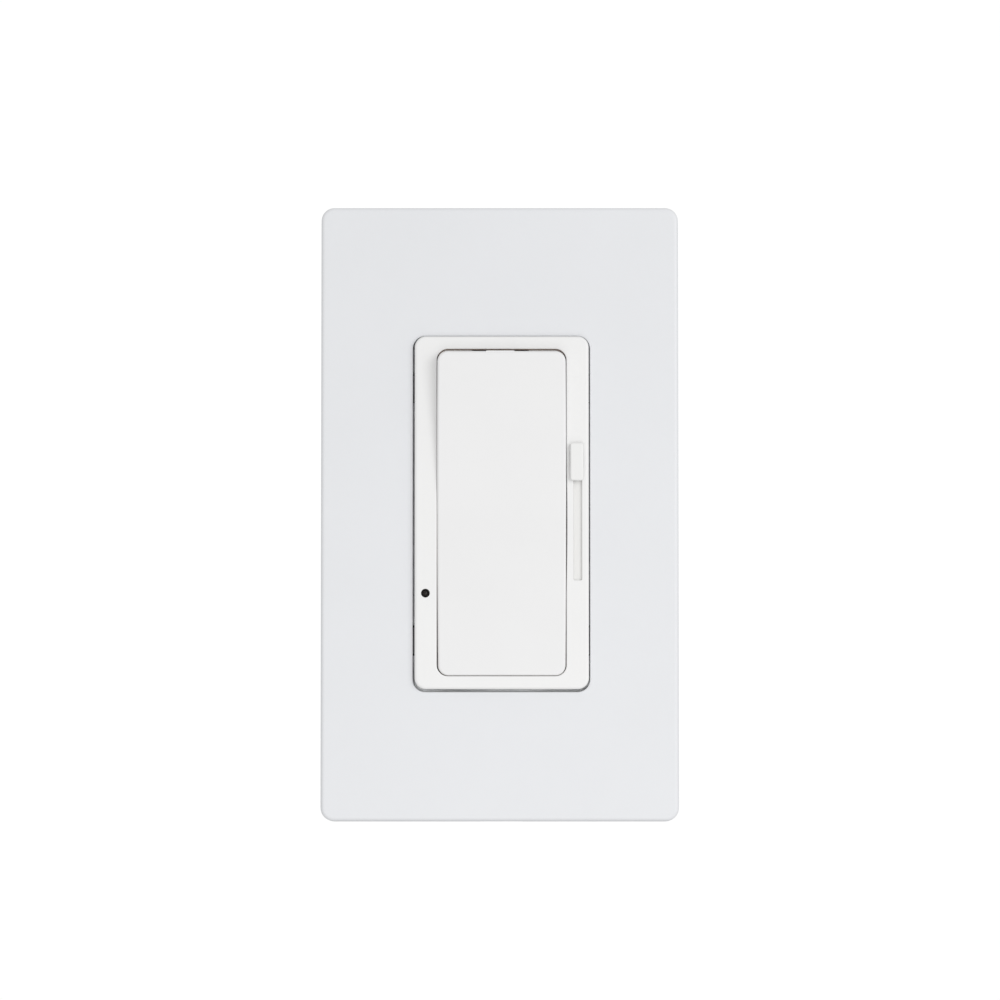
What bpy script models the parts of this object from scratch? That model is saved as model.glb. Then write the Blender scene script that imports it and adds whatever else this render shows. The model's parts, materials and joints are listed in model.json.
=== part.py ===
"""A decorator-style slide dimmer with a rocker switch and a screwless wall plate.

X runs to the right, Y into the wall and Z up, seen from the room. The origin lies on the wall, on the
back of the yoke's top ear and on the device's centre line. Every place below is measured from the
device's centre, HANG under that origin, in millimetres, and the helpers turn them into metres.
The dimmer is modelled switched off, with the top of its rocker out and the slider at the top.
"""

import math

import bmesh
import bpy

MM = 0.001
HANG = 51.8

# Wall plate. The floats are how far the plate and its window hang off the device's centre
PLATE_HALF_X = 34.0
PLATE_HALF_Z = 58.2
PLATE_FRONT = -6.6
PLATE_BACK = -0.2
PLATE_RADIUS = 2.7
PLATE_SKIN = 1.8
PLATE_WALL = 1.4
PLATE_DRAFT = 0.25
PLATE_EDGE = 0.7
PLATE_EDGE_STEPS = (35, 65, 90)
PLATE_HOLLOW_RADIUS = 1.4
PLATE_FLOAT = (-0.35, -0.1)
WINDOW_FLOAT = (-0.06, -0.1)
WINDOW_GAP = 0.27
WINDOW_RADIUS = 2.35
LUG_Y = (-2.6, -1.7)
LUG_HALF = 0.55
PRY_NOTCH = (4.0, 0.8, -1.5)

# Adapter plate, which carries the wall plate
ADAPTER_HALF_X = 31.5
ADAPTER_HALF_Z = 56.0
ADAPTER_FRONT = -4.2
ADAPTER_BACK = -0.3
ADAPTER_SKIN = 2.4
ADAPTER_RIM = 1.5
ADAPTER_RADIUS = 2.2
ADAPTER_WINDOW_GAP = 0.38
CATCH_X = 14.0
CATCH_HALF = 3.0
CATCH_Y = (-3.6, -2.9)
CATCH_REACH = 0.4

# Aluminium yoke
YOKE_FRONT = -1.5
YOKE_BACK = -0.1
YOKE_HALF_X = 22.5
YOKE_SHOULDER_Z = 39.5
YOKE_NECK_HALF = 12.0
YOKE_HALF_Z = 53.2
EAR_HALF_X = 16.0
EAR_Z = 46.4
BOX_SCREW_Z = 83.3 / 2
PLATE_SCREW_Z = 96.8 / 2
CASE_SCREW = (18.9, 30.5)
CLEARANCE = 0.3

# Bezel
BEZEL_HALF_X = 33.02 / 2
BEZEL_HALF_Z = 66.68 / 2
BEZEL_FRONT = -8.0
BEZEL_BACK = -1.9
BEZEL_RADIUS = 2.1
BEZEL_SKIN = 1.4
SLOT_SKIN = 0.5
BEZEL_EDGE = 0.5
OPENING_HALF_X = 12.34
OPENING_HALF_Z = 30.95
OPENING_RADIUS = 2.1
RAIL_X = 14.36
CHANNEL_HALF_X = 1.24
CHANNEL_HALF_Z = 32.3
SNAP_Z = 24.0
SNAP_HALF = 2.5

# Rocker paddle. PIVOT_Y is its axis, and its two flats meet at FOLD degrees each
PIVOT_Y = -4.3
ROCK = 3.0
FOLD = 3.0
PADDLE_HALF_X = 12.09
PADDLE_HALF_Z = 30.46
PADDLE_RADIUS = 1.9
PADDLE_FACE = -8.1 - PIVOT_Y
PADDLE_BACK = 1.0
PADDLE_SKIN = 1.6
PADDLE_SKIRT = 1.2
TRUNNION_RADIUS = 1.05
TRUNNION_END = 13.0
BOSS_RADIUS = 2.5
BOSS_BORE = 1.75
BOSS_END = 11.8
BOSS_FLOOR = 2.8
PLUNGER_RADIUS = 1.45
PLUNGER_HEEL = 7.3
PLUNGER_TIP = 17.0
SPRING_RADIUS = 1.2
SPRING_WIRE = 0.16
SPRING_TURNS = 6

# Slide control
SLOT_HALF_X = 0.9
SLOT_HALF_Z = 12.75
KNOB_HALF_X = 1.15
KNOB_HALF_Z = 3.54
KNOB_FRONT = -9.5
KNOB_BACK = -8.2
SLIDER_Z = 9.57
SLIDER_TRAVEL = 19.0
LEVER_HALF_X = 0.5
LEVER_HALF_Z = 2.3
LEVER_PLAY = 0.15
SHUTTER_HALF_X = 0.97
SHUTTER_FRONT = -7.2
SHUTTER_BACK = -6.8

# Indicator
INDICATOR_Z = -15.18
INDICATOR_HOLE = 0.82

# Rear housing, circuit board and switch
HOUSING_HALF_X = 21.5
HOUSING_HALF_Z = 33.5
HOUSING_FRONT = 0.3
HOUSING_BACK = 28.0
HOUSING_WALL = 1.6
HOUSING_DRAFT = 0.8
BOARD_FRONT = 6.7
BOARD_BACK = 8.3
BOARD_HALF_X = 18.7
BOARD_HALF_Z = 27.8
SEAT = BOARD_BACK + CLEARANCE
SWITCH_HALF_X = 6.2
SWITCH_HALF_Z = 11.0
SWITCH_BACK = 17.4
BLADE_Y = 13.3
BLADE_TILT = 6.0
CONTACT_Z = 7.8
TERMINAL_TAIL = 19.0

# Places on the yoke and on the board, as (x, z) where there are two numbers
GROUND_RIVET = (-10.0, -37.0)
GROUND_BARREL_X = -15.5
TRIAC_SCREW = (-7.5, 26.5)
TRIAC_LEGS = (-10.04, -7.5, -4.96)
TRIAC_LEG_Z = 12.3
LED_LEG_GAP = 1.27
LEG_HOLE = 0.55
FILM_CAPACITOR = (2.5, 20.4)
TIMING_CAPACITOR = (12.3, 7.4)
CHOKE = (-9.2, -19.8)
CHOKE_Y = 13.2
CHOKE_TURNS = 19
TRIM_POT = (11.6, -17.0)
RESISTOR_X = 10.2
DIAC_X = 15.2

# Leads: name, x where it leaves the housing, colour, and the last three points of its bend
LEAD_RADIUS = 1.25
STRAND_RADIUS = 0.6
LEAD_Z = -25.2
STRIP_LENGTH = 11.0
LEADS = (
    ("black_lead", 4.0, (0.02, 0.02, 0.02), (3.0, 52.0, -26.0), (-2.0, 66.0, -28.0), (-7.0, 84.0, -38.0)),
    ("red_lead", 9.5, (0.50, 0.02, 0.02), (9.5, 54.0, -25.0), (10.0, 68.0, -24.0), (7.0, 88.0, -31.0)),
    ("yellow_lead", 15.0, (0.80, 0.55, 0.04), (16.0, 50.0, -26.0), (21.0, 66.0, -30.0), (22.0, 84.0, -40.0)),
)
GROUND_BEND = ((-15.5, 40.0, -37.0), (-20.0, 60.0, -36.0), (-22.0, 82.0, -44.0))
GROUND_GREEN = (0.02, 0.22, 0.06)
BEND_STEPS = 9

# Colours used more than once
PLATE_WHITE = (0.79, 0.80, 0.82)
DEVICE_WHITE = (0.86, 0.86, 0.85)
BLACK_PLASTIC = (0.02, 0.02, 0.022)
ALUMINIUM = (0.72, 0.73, 0.74)
STEEL = (0.62, 0.62, 0.60)
BRASS = (0.72, 0.56, 0.27)
COPPER = (0.80, 0.42, 0.24)
SILVER = (0.82, 0.81, 0.78)


def clear_scene():
    for item in list(bpy.data.objects):
        bpy.data.objects.remove(item)


def material(name, colour, roughness, metallic=0.0):
    """One Principled material for one sub-part."""
    made = bpy.data.materials.new(name)
    made.use_nodes = True
    shader = made.node_tree.nodes["Principled BSDF"]
    shader.inputs["Base Color"].default_value = (*colour, 1.0)
    shader.inputs["Roughness"].default_value = roughness
    shader.inputs["Metallic"].default_value = metallic
    return made


# Outlines are lists of points in the two axes across the extrusion, in X, Y, Z order


def rounded_rectangle(half_a, half_b, radius, centre=(0.0, 0.0), steps=4):
    points = []
    for corner, (sign_a, sign_b) in enumerate(((1, 1), (-1, 1), (-1, -1), (1, -1))):
        middle_a = centre[0] + sign_a * (half_a - radius)
        middle_b = centre[1] + sign_b * (half_b - radius)
        for step in range(steps + 1):
            angle = math.pi / 2 * (corner + step / steps)
            points.append((middle_a + radius * math.cos(angle), middle_b + radius * math.sin(angle)))
    return points


def rectangle(low_a, high_a, low_b, high_b):
    return [(high_a, high_b), (low_a, high_b), (low_a, low_b), (high_a, low_b)]


def circle(radius, centre=(0.0, 0.0), sides=12):
    turns = [2 * math.pi * (side + 0.5) / sides for side in range(sides)]
    return [(centre[0] + radius * math.cos(a), centre[1] + radius * math.sin(a)) for a in turns]


def slot_outline(half_length, radius, centre=(0.0, 0.0), steps=5):
    return rounded_rectangle(half_length, radius, radius * 0.999, centre, steps)


def point_on(axis, along, across):
    """A point given its place along an axis and its two coordinates across it."""
    a, b = across
    return {"X": (along, a, b), "Y": (a, along, b), "Z": (a, b, along)}[axis]


def loft_mesh(sections, axis="Y"):
    """A closed solid through outlines that have the same number of points."""
    shape = bmesh.new()
    rings = []
    for along, outline in sections:
        rings.append([shape.verts.new(point_on(axis, along, point)) for point in outline])
    for ring, following in zip(rings, rings[1:]):
        count = len(ring)
        for i in range(count):
            j = (i + 1) % count
            shape.faces.new((ring[i], ring[j], following[j], following[i]))
    shape.faces.new(rings[0])
    shape.faces.new(rings[-1])
    bmesh.ops.recalc_face_normals(shape, faces=shape.faces)
    return shape


def to_object(name, shape, finish=None):
    """Turn millimetres into metres and put the mesh in the scene."""
    bmesh.ops.scale(shape, vec=(MM, MM, MM), verts=shape.verts)
    mesh = bpy.data.meshes.new(name)
    shape.to_mesh(mesh)
    shape.free()
    mesh.shade_smooth()
    mesh.set_sharp_from_angle(angle=math.radians(32))
    made = bpy.data.objects.new(name, mesh)
    bpy.context.scene.collection.objects.link(made)
    if finish:
        mesh.materials.append(finish)
    return made


def loft(name, sections, finish=None, axis="Y"):
    return to_object(name, loft_mesh(sections, axis), finish)


def prism(name, outline, low, high, finish=None, axis="Y"):
    return loft(name, [(low, outline), (high, outline)], finish, axis)


def turned(name, profile, finish=None, centre=(0.0, 0.0), axis="Y", sides=12):
    """A solid of revolution from (place along the axis, radius) pairs."""
    sections = [(along, circle(radius, centre, sides)) for along, radius in profile]
    return loft(name, sections, finish, axis)


def soft_block(name, half_a, half_b, radius, front, back, edge, finish=None, centre=(0.0, 0.0)):
    """A block along Y whose front edge is rounded by edge."""
    sections = []
    for turn in (90, 50, 20, 0):
        inset = edge * (1 - math.cos(math.radians(turn)))
        level = front + edge * (1 - math.sin(math.radians(turn)))
        corner = max(radius - inset, 0.05)
        sections.append((level, rounded_rectangle(half_a - inset, half_b - inset, corner, centre)))
    sections.append((back, sections[-1][1]))
    return loft(name, sections, finish)


def sweep(name, points, radius, finish, resolution=1):
    """A round wire along a polyline, with filled ends."""
    curve = bpy.data.curves.new(name, "CURVE")
    curve.dimensions = "3D"
    curve.bevel_depth = radius * MM
    curve.bevel_resolution = resolution
    curve.use_fill_caps = True
    line = curve.splines.new("POLY")
    line.points.add(len(points) - 1)
    for target, point in zip(line.points, points):
        target.co = (*(value * MM for value in point), 1.0)
    made = bpy.data.objects.new(name, curve)
    bpy.context.scene.collection.objects.link(made)
    curve.materials.append(finish)
    return made


def bezier(start, first, second, end, count):
    """Points along a cubic curve."""
    points = []
    for i in range(count + 1):
        t = i / count
        weights = ((1 - t) ** 3, 3 * t * (1 - t) ** 2, 3 * t * t * (1 - t), t ** 3)
        points.append(tuple(sum(w * p[k] for w, p in zip(weights, (start, first, second, end)))
                            for k in range(3)))
    return points


def combine(target, tool, operation):
    """Boolean the tool into its target. The tool moves with the target and isn't a part itself."""
    tool.parent = target.parent
    tool.hide_render = True
    tool.display_type = "WIRE"
    modifier = target.modifiers.new(tool.name, "BOOLEAN")
    modifier.operation = operation
    modifier.object = tool
    modifier.solver = "EXACT"
    return target


def cut(target, *tools):
    for tool in tools:
        combine(target, tool, "DIFFERENCE")
    return target


def join(target, *tools):
    for tool in tools:
        combine(target, tool, "UNION")
    return target


def place(item, x=0.0, y=0.0, z=0.0, tilt=0.0):
    item.location = (x * MM, y * MM, z * MM)
    item.rotation_euler = (math.radians(tilt), 0.0, 0.0)
    return item


def empty(name, **where):
    """An empty that moving pieces hang on, placed on their joint's axis."""
    made = bpy.data.objects.new(name, None)
    bpy.context.scene.collection.objects.link(made)
    return place(made, **where)


def mirrored_z(size):
    return (("top", size), ("bottom", -size))


# Wall plate and adapter


def wall_plate():
    """The cover that snaps over the adapter, with a window for the device."""
    finish = material("wall_plate_white", PLATE_WHITE, 0.32)

    def outline(inset):
        radius = PLATE_RADIUS - inset
        return rounded_rectangle(PLATE_HALF_X - inset, PLATE_HALF_Z - inset, radius, PLATE_FLOAT, 6)

    sections = [(PLATE_BACK, outline(0.0)), (PLATE_FRONT + PLATE_EDGE, outline(PLATE_DRAFT))]
    for turn in PLATE_EDGE_STEPS:
        angle = math.radians(turn)
        inset = PLATE_DRAFT + PLATE_EDGE * (1 - math.cos(angle))
        sections.append((PLATE_FRONT + PLATE_EDGE * (1 - math.sin(angle)), outline(inset)))
    plate = loft("wall_plate", sections, finish)
    inner = rounded_rectangle(
        PLATE_HALF_X - PLATE_WALL, PLATE_HALF_Z - PLATE_WALL, PLATE_HOLLOW_RADIUS, PLATE_FLOAT)
    hollow = prism("plate_hollow", inner, PLATE_FRONT + PLATE_SKIN, 1.0)
    window_outline = rounded_rectangle(
        BEZEL_HALF_X + WINDOW_GAP, BEZEL_HALF_Z + WINDOW_GAP, WINDOW_RADIUS, WINDOW_FLOAT)
    window = prism("plate_window", window_outline, PLATE_FRONT - 1.0, 0.0)
    notch_half, notch_depth, notch_front = PRY_NOTCH
    bottom = PLATE_FLOAT[1] - PLATE_HALF_Z
    notch = rectangle(-notch_half, notch_half, bottom - 1.0, bottom + notch_depth)
    cut(plate, hollow, window, prism("plate_pry_notch", notch, notch_front, 0.5))
    for side, sign in (("top", 1), ("bottom", -1)):
        for hand, x in (("left", -CATCH_X), ("right", CATCH_X)):
            z = sign * (PLATE_HALF_Z - PLATE_WALL)
            lug = rectangle(x - CATCH_HALF, x + CATCH_HALF, z - LUG_HALF, z + LUG_HALF)
            join(plate, prism(f"plate_lug_{side}_{hand}", lug, *LUG_Y))
    return plate


def adapter_plate():
    """The plate screwed to the yoke, with catches that the wall plate snaps over."""
    finish = material("adapter_white", DEVICE_WHITE, 0.45)
    outline = rounded_rectangle(ADAPTER_HALF_X, ADAPTER_HALF_Z, ADAPTER_RADIUS)
    plate = prism("adapter_plate", outline, ADAPTER_FRONT, ADAPTER_BACK, finish)
    inner = rounded_rectangle(ADAPTER_HALF_X - ADAPTER_RIM, ADAPTER_HALF_Z - ADAPTER_RIM, 1.0)
    hollow = prism("adapter_hollow", inner, ADAPTER_FRONT + ADAPTER_SKIN, 1.0)
    window = rounded_rectangle(
        BEZEL_HALF_X + ADAPTER_WINDOW_GAP, BEZEL_HALF_Z + ADAPTER_WINDOW_GAP, WINDOW_RADIUS)
    cut(plate, hollow, prism("adapter_window", window, ADAPTER_FRONT - 1.0, 0.0))
    for side, z in mirrored_z(BOX_SCREW_Z):
        access = slot_outline(5.4, 4.3, (0.0, z))
        cut(plate, prism(f"adapter_access_{side}", access, ADAPTER_FRONT - 1.0, 0.0))
    for side, z in mirrored_z(PLATE_SCREW_Z):
        countersink = ((ADAPTER_FRONT - 0.5, 3.8), (ADAPTER_FRONT, 3.35), (-2.6, 2.05), (0.0, 2.05))
        cut(plate, turned(f"adapter_countersink_{side}", countersink, centre=(0.0, z)))
    for x in (-CASE_SCREW[0], CASE_SCREW[0]):
        for z in (-CASE_SCREW[1], CASE_SCREW[1]):
            relief = circle(2.5, (x, z))
            cut(plate, prism(f"adapter_relief_{x:.0f}_{z:.0f}", relief, ADAPTER_FRONT - 1.0, 0.0))
    cut(plate, prism("adapter_rivet_relief", circle(3.1, GROUND_RIVET), ADAPTER_FRONT - 1.0, 0.0))
    for side, sign in (("top", 1), ("bottom", -1)):
        for hand, x in (("left", -CATCH_X), ("right", CATCH_X)):
            z = sign * ADAPTER_HALF_Z
            catch = rectangle(x - CATCH_HALF, x + CATCH_HALF, z - CATCH_REACH, z + CATCH_REACH)
            join(plate, prism(f"adapter_catch_{side}_{hand}", catch, *CATCH_Y))
    return plate


# Screws


def machine_screw(name, head, shank_radius, seat, tip, finish, centre, drive="slot"):
    """A screw driven along +Y. head is its (place along Y, radius) pairs from the top to the seat."""
    point = 0.6
    profile = [*head, (seat, shank_radius), (tip - point, shank_radius), (tip, shank_radius * 0.6)]
    screw = turned(name, profile, finish, centre)
    top, reach = head[0][0], head[-1][1] * 0.62
    x, z = centre
    slot = rectangle(x - reach, x + reach, z - 0.35, z + 0.35)
    cut(screw, prism(f"{name}_slot", slot, top - 0.5, top + 0.6))
    if drive == "cross":
        cross = rectangle(x - 0.35, x + 0.35, z - reach, z + reach)
        cut(screw, prism(f"{name}_cross", cross, top - 0.5, top + 0.6))
    return screw


def screws():
    plated = material("screw_steel", STEEL, 0.35, 1.0)
    white = material("painted_screw", DEVICE_WHITE, 0.4)
    fibre = material("retainer", BLACK_PLASTIC, 0.6)
    for side, z in mirrored_z(BOX_SCREW_Z):
        head = ((-3.7, 2.2), (-3.3, 3.1), (-1.8, 3.45))
        machine_screw(f"box_screw_{side}", head, 1.72, -1.8, 21.5, plated, (0.0, z))
        washer = rounded_rectangle(4.4, 4.0, 0.8, (0.0, z), 2)
        retainer = prism(f"screw_retainer_{side}", washer, 0.3, 0.9, fibre)
        cut(retainer, prism(f"retainer_hole_{side}", circle(1.9, (0.0, z), 10), 0.0, 1.5))
    for side, z in mirrored_z(PLATE_SCREW_Z):
        head = ((-4.45, 2.2), (-4.2, 3.0))
        machine_screw(f"adapter_screw_{side}", head, 1.72, -2.7, 5.0, white, (0.0, z))
    names = {(-1, 1): "top_left", (1, 1): "top_right", (-1, -1): "bottom_left", (1, -1): "bottom_right"}
    for (sign_x, sign_z), corner in names.items():
        head = ((-2.9, 1.2), (-2.6, 1.75), (-1.8, 1.95))
        centre = (sign_x * CASE_SCREW[0], sign_z * CASE_SCREW[1])
        machine_screw(f"case_screw_{corner}", head, 1.0, -1.8, 9.0, plated, centre, "cross")


# Yoke and ground


def yoke():
    """The aluminium strap that mounts the dimmer and cools its triac."""
    finish = material("yoke_aluminium", ALUMINIUM, 0.38, 1.0)
    body = prism("yoke", rounded_rectangle(YOKE_HALF_X, YOKE_SHOULDER_Z, 3.0), YOKE_FRONT, YOKE_BACK, finish)
    neck = rounded_rectangle(YOKE_NECK_HALF, YOKE_HALF_Z - 2.0, 1.0)
    join(body, prism("yoke_neck", neck, YOKE_FRONT + 0.001, YOKE_BACK - 0.001))
    for side, sign in (("top", 1), ("bottom", -1)):
        middle = sign * (EAR_Z + YOKE_HALF_Z) / 2
        ear = rounded_rectangle(EAR_HALF_X, (YOKE_HALF_Z - EAR_Z) / 2, 2.0, (0.0, middle))
        join(body, prism(f"yoke_ear_{side}", ear, YOKE_FRONT - 0.001, 0.0))
    holes = [
        rounded_rectangle(3.8, 4.6, 1.2, steps=2),
        rounded_rectangle(0.9, 12.6, 0.4, (RAIL_X, 0.0), 2),
        circle(1.5, (-RAIL_X, INDICATOR_Z), 10),
        circle(1.9, TRIAC_SCREW, 10),
        circle(1.85, GROUND_RIVET, 10),
    ]
    for z in (-SNAP_Z, SNAP_Z):
        for x in (-16.05, 16.05):
            holes.append(rounded_rectangle(0.8, SNAP_HALF + 0.4, 0.3, (x, z), 1))
    for z in (-BOX_SCREW_Z, BOX_SCREW_Z):
        holes.append(slot_outline(3.6, 2.1, (0.0, z)))
    for z in (-PLATE_SCREW_Z, PLATE_SCREW_Z):
        holes.append(circle(2.02, (0.0, z), 12))
    for x in (-CASE_SCREW[0], CASE_SCREW[0]):
        for z in (-CASE_SCREW[1], CASE_SCREW[1]):
            holes.append(circle(1.3, (x, z), 10))
    for number, hole in enumerate(holes):
        cut(body, prism(f"yoke_hole_{number}", hole, YOKE_FRONT - 1.0, 1.0))
    return body


def ground_terminal():
    """A ring terminal riveted to the yoke, with its barrel pointing back."""
    finish = material("terminal_tin", SILVER, 0.4, 1.0)
    x, z = GROUND_RIVET
    ring = prism("ground_terminal", circle(3.4, GROUND_RIVET, 14), 0.2, 1.0, finish)
    join(ring, prism("ground_tongue", rectangle(GROUND_BARREL_X, x, z - 1.4, z + 1.4), 0.21, 0.99))
    join(ring, prism("ground_barrel", circle(1.9, (GROUND_BARREL_X, z), 12), 0.22, 7.0))
    cut(ring, prism("ground_bore", circle(1.45, (GROUND_BARREL_X, z), 12), 1.4, 8.0))
    cut(ring, prism("ground_eye", circle(1.8, GROUND_RIVET, 12), -1.0, 2.0))
    rivet = ((-2.35, 1.8), (-2.1, 2.5), (-1.7, 2.5), (-1.7, 1.5), (1.2, 1.5), (1.2, 2.4), (1.8, 1.8))
    return ring, turned("ground_rivet", rivet, material("rivet_brass", BRASS, 0.35, 1.0), GROUND_RIVET)


# Bezel, paddle and plunger


def bezel():
    """The front frame around the paddle, with the slider's slot, the indicator's hole and snap legs."""
    finish = material("bezel_white", DEVICE_WHITE, 0.3)
    frame = soft_block("bezel", BEZEL_HALF_X, BEZEL_HALF_Z, BEZEL_RADIUS, BEZEL_FRONT, BEZEL_BACK,
                       BEZEL_EDGE, finish)
    for hand, sign in (("left", -1), ("right", 1)):
        for side, z in mirrored_z(SNAP_Z):
            outer = sign * BEZEL_HALF_X
            inner = outer - sign * 0.95
            leg = rectangle(min(outer, inner), max(outer, inner), z - SNAP_HALF, z + SNAP_HALF)
            join(frame, prism(f"bezel_leg_{side}_{hand}", leg, BEZEL_BACK - 2.0, 1.3))
            tip = sign * 17.15
            root = outer - sign * 0.4
            hook = [(root, 0.2), (tip, 0.2), (tip, 0.5), (outer, 1.25), (root, 1.25)]
            join(frame, prism(f"bezel_hook_{side}_{hand}", hook, z - SNAP_HALF + 0.01,
                              z + SNAP_HALF - 0.01, axis="Z"))
    opening = rounded_rectangle(OPENING_HALF_X, OPENING_HALF_Z, OPENING_RADIUS)
    tools = [prism("bezel_opening", opening, BEZEL_FRONT - 1.0, 0.0)]
    for hand, x, thickness in (("left", -RAIL_X, BEZEL_SKIN), ("right", RAIL_X, SLOT_SKIN)):
        channel = rounded_rectangle(CHANNEL_HALF_X, CHANNEL_HALF_Z, 0.5, (x, 0.0), 2)
        tools.append(prism(f"bezel_channel_{hand}", channel, BEZEL_FRONT + thickness, 0.0))
    slot = rounded_rectangle(SLOT_HALF_X, SLOT_HALF_Z, 0.25, (RAIL_X, 0.0), 2)
    tools.append(prism("bezel_slot", slot, BEZEL_FRONT - 1.0, 0.0))
    hole = circle(INDICATOR_HOLE, (-RAIL_X, INDICATOR_Z), 16)
    tools.append(prism("bezel_indicator_hole", hole, BEZEL_FRONT - 1.0, 0.0))
    bearing = circle(TRUNNION_RADIUS + 0.25, (PIVOT_Y, 0.0), 12)
    tools.append(prism("bezel_bearing", bearing, -13.4, 13.4, axis="X"))
    return cut(frame, *tools)


def folded_block(name, half_x, half_z, radius, face, back, edge, finish=None):
    """A block whose front is two flats that meet in a shallow valley at its middle."""
    sections = []
    for turn in (90, 45, 0):
        inset = edge * (1 - math.cos(math.radians(turn)))
        level = face + edge * (1 - math.sin(math.radians(turn)))
        outline = rounded_rectangle(half_x - inset, half_z - inset, max(radius - inset, 0.05))
        sections.append((level, outline))
    sections.append((back, sections[-1][1]))
    shape = loft_mesh(sections)
    everything = shape.verts[:] + shape.edges[:] + shape.faces[:]
    bmesh.ops.bisect_plane(shape, geom=everything, plane_co=(0, 0, 0), plane_no=(0, 0, 1))
    for vert in shape.verts:
        if vert.co.y < face + edge + 0.01:
            vert.co.y -= abs(vert.co.z) * math.tan(math.radians(FOLD))
    return to_object(name, shape, finish)


def paddle(pivot):
    """The rocker: a hollow paddle with trunnions, and a boss for the switch's plunger."""
    finish = material("paddle_white", DEVICE_WHITE, 0.28)
    rocker = folded_block("rocker_paddle", PADDLE_HALF_X, PADDLE_HALF_Z, PADDLE_RADIUS,
                          PADDLE_FACE, PADDLE_BACK, 0.5, finish)
    rocker.parent = pivot
    cut(rocker, folded_block("paddle_hollow", PADDLE_HALF_X - PADDLE_SKIRT,
                             PADDLE_HALF_Z - PADDLE_SKIRT, 0.8, PADDLE_FACE + PADDLE_SKIN, 3.0, 0.2))
    join(rocker, folded_block("paddle_spine", 0.6, PADDLE_HALF_Z - 0.5, 0.3, PADDLE_FACE + 0.8, -0.4, 0.1))
    rib_reach = PADDLE_HALF_X - 0.5
    rib = rectangle(-rib_reach, rib_reach, -0.6, 0.6)
    join(rocker, prism("paddle_rib", rib, PADDLE_FACE + 0.9, 0.8))
    for hand, start, end in (("left", -TRUNNION_END, -11.5), ("right", 11.5, TRUNNION_END)):
        join(rocker, prism(f"paddle_trunnion_{hand}", circle(TRUNNION_RADIUS), start, end, axis="X"))
    join(rocker, prism("paddle_boss", circle(BOSS_RADIUS, sides=16), PADDLE_FACE + 0.85, BOSS_END))
    tab_z = PADDLE_HALF_Z + 0.1
    tab = rectangle(-3.4, 3.0, tab_z - 0.6, tab_z + 0.22)
    join(rocker, prism("paddle_tab", tab, -1.3, 0.6))
    return cut(rocker, prism("paddle_bore", circle(BOSS_BORE, sides=14), BOSS_FLOOR, BOSS_END + 1.0))


def plunger(pivot):
    """The sprung plunger that tips the contact blade."""
    profile = [(PLUNGER_HEEL, PLUNGER_RADIUS), (PLUNGER_TIP - 1.2, PLUNGER_RADIUS),
               (PLUNGER_TIP - 0.45, 1.05), (PLUNGER_TIP, 0.4)]
    pin = turned("switch_plunger", profile, material("plunger_nylon", (0.75, 0.73, 0.66), 0.4), sides=14)
    pin.parent = pivot
    length = PLUNGER_HEEL - BOSS_FLOOR - 0.5
    points = []
    per_turn = 10
    for i in range(SPRING_TURNS * per_turn + 1):
        angle = 2 * math.pi * i / per_turn
        along = BOSS_FLOOR + 0.25 + length * i / (SPRING_TURNS * per_turn)
        points.append((SPRING_RADIUS * math.cos(angle), along, SPRING_RADIUS * math.sin(angle)))
    spring = sweep("plunger_spring", points, SPRING_WIRE, material("spring_steel", STEEL, 0.25, 1.0), 0)
    spring.parent = pivot
    return pin, spring


# Slide control


def socket_for_lever():
    """The lever's outline with play around it."""
    half_x = LEVER_HALF_X + LEVER_PLAY
    half_z = LEVER_HALF_Z + LEVER_PLAY
    return rectangle(-half_x, half_x, -half_z, half_z)


def slider_knob(slider):
    """The knob that the finger slides, pressed onto the lever."""
    knob = soft_block("slider_knob", KNOB_HALF_X, KNOB_HALF_Z, 0.45, KNOB_FRONT, KNOB_BACK, 0.3,
                      material("knob_white", DEVICE_WHITE, 0.3))
    knob.parent = slider
    return cut(knob, prism("knob_socket", socket_for_lever(), KNOB_FRONT + 0.5, KNOB_BACK + 1.0))


def slot_shutter(slider):
    """The strip behind the slot that moves with the lever and hides the inside."""
    low = -SLOT_HALF_Z - 0.1 - SLIDER_Z
    high = SLOT_HALF_Z + SLIDER_TRAVEL - SLIDER_Z
    outline = rounded_rectangle(SHUTTER_HALF_X, (high - low) / 2, 0.4, (0.0, (high + low) / 2), 2)
    strip = prism("slot_shutter", outline, SHUTTER_FRONT, SHUTTER_BACK,
                  material("shutter_white", DEVICE_WHITE, 0.5))
    strip.parent = slider
    return cut(strip, prism("shutter_hole", socket_for_lever(), SHUTTER_FRONT - 1.0, SHUTTER_BACK + 1.0))


def lever_and_wiper(slider):
    """The lever with its carriage, and the wiper that the carriage presses on the track."""
    lever = rectangle(-LEVER_HALF_X, LEVER_HALF_X, -LEVER_HALF_Z, LEVER_HALF_Z)
    arm = prism("pot_lever", lever, KNOB_FRONT + 0.65, 3.0, material("lever_black", BLACK_PLASTIC, 0.45))
    arm.parent = slider
    join(arm, prism("pot_carriage", rectangle(-2.5, 2.5, -4.2, 4.2), 1.5, 4.2))
    bow = [(4.35, -2.6), (4.55, -2.6), (5.3, 0.0), (4.55, 2.6), (4.35, 2.6), (5.05, 0.0)]
    wiper = prism("pot_wiper", bow, -1.6, 1.6, material("wiper_brass", BRASS, 0.3, 1.0), "X")
    wiper.parent = slider
    return arm, wiper


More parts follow.
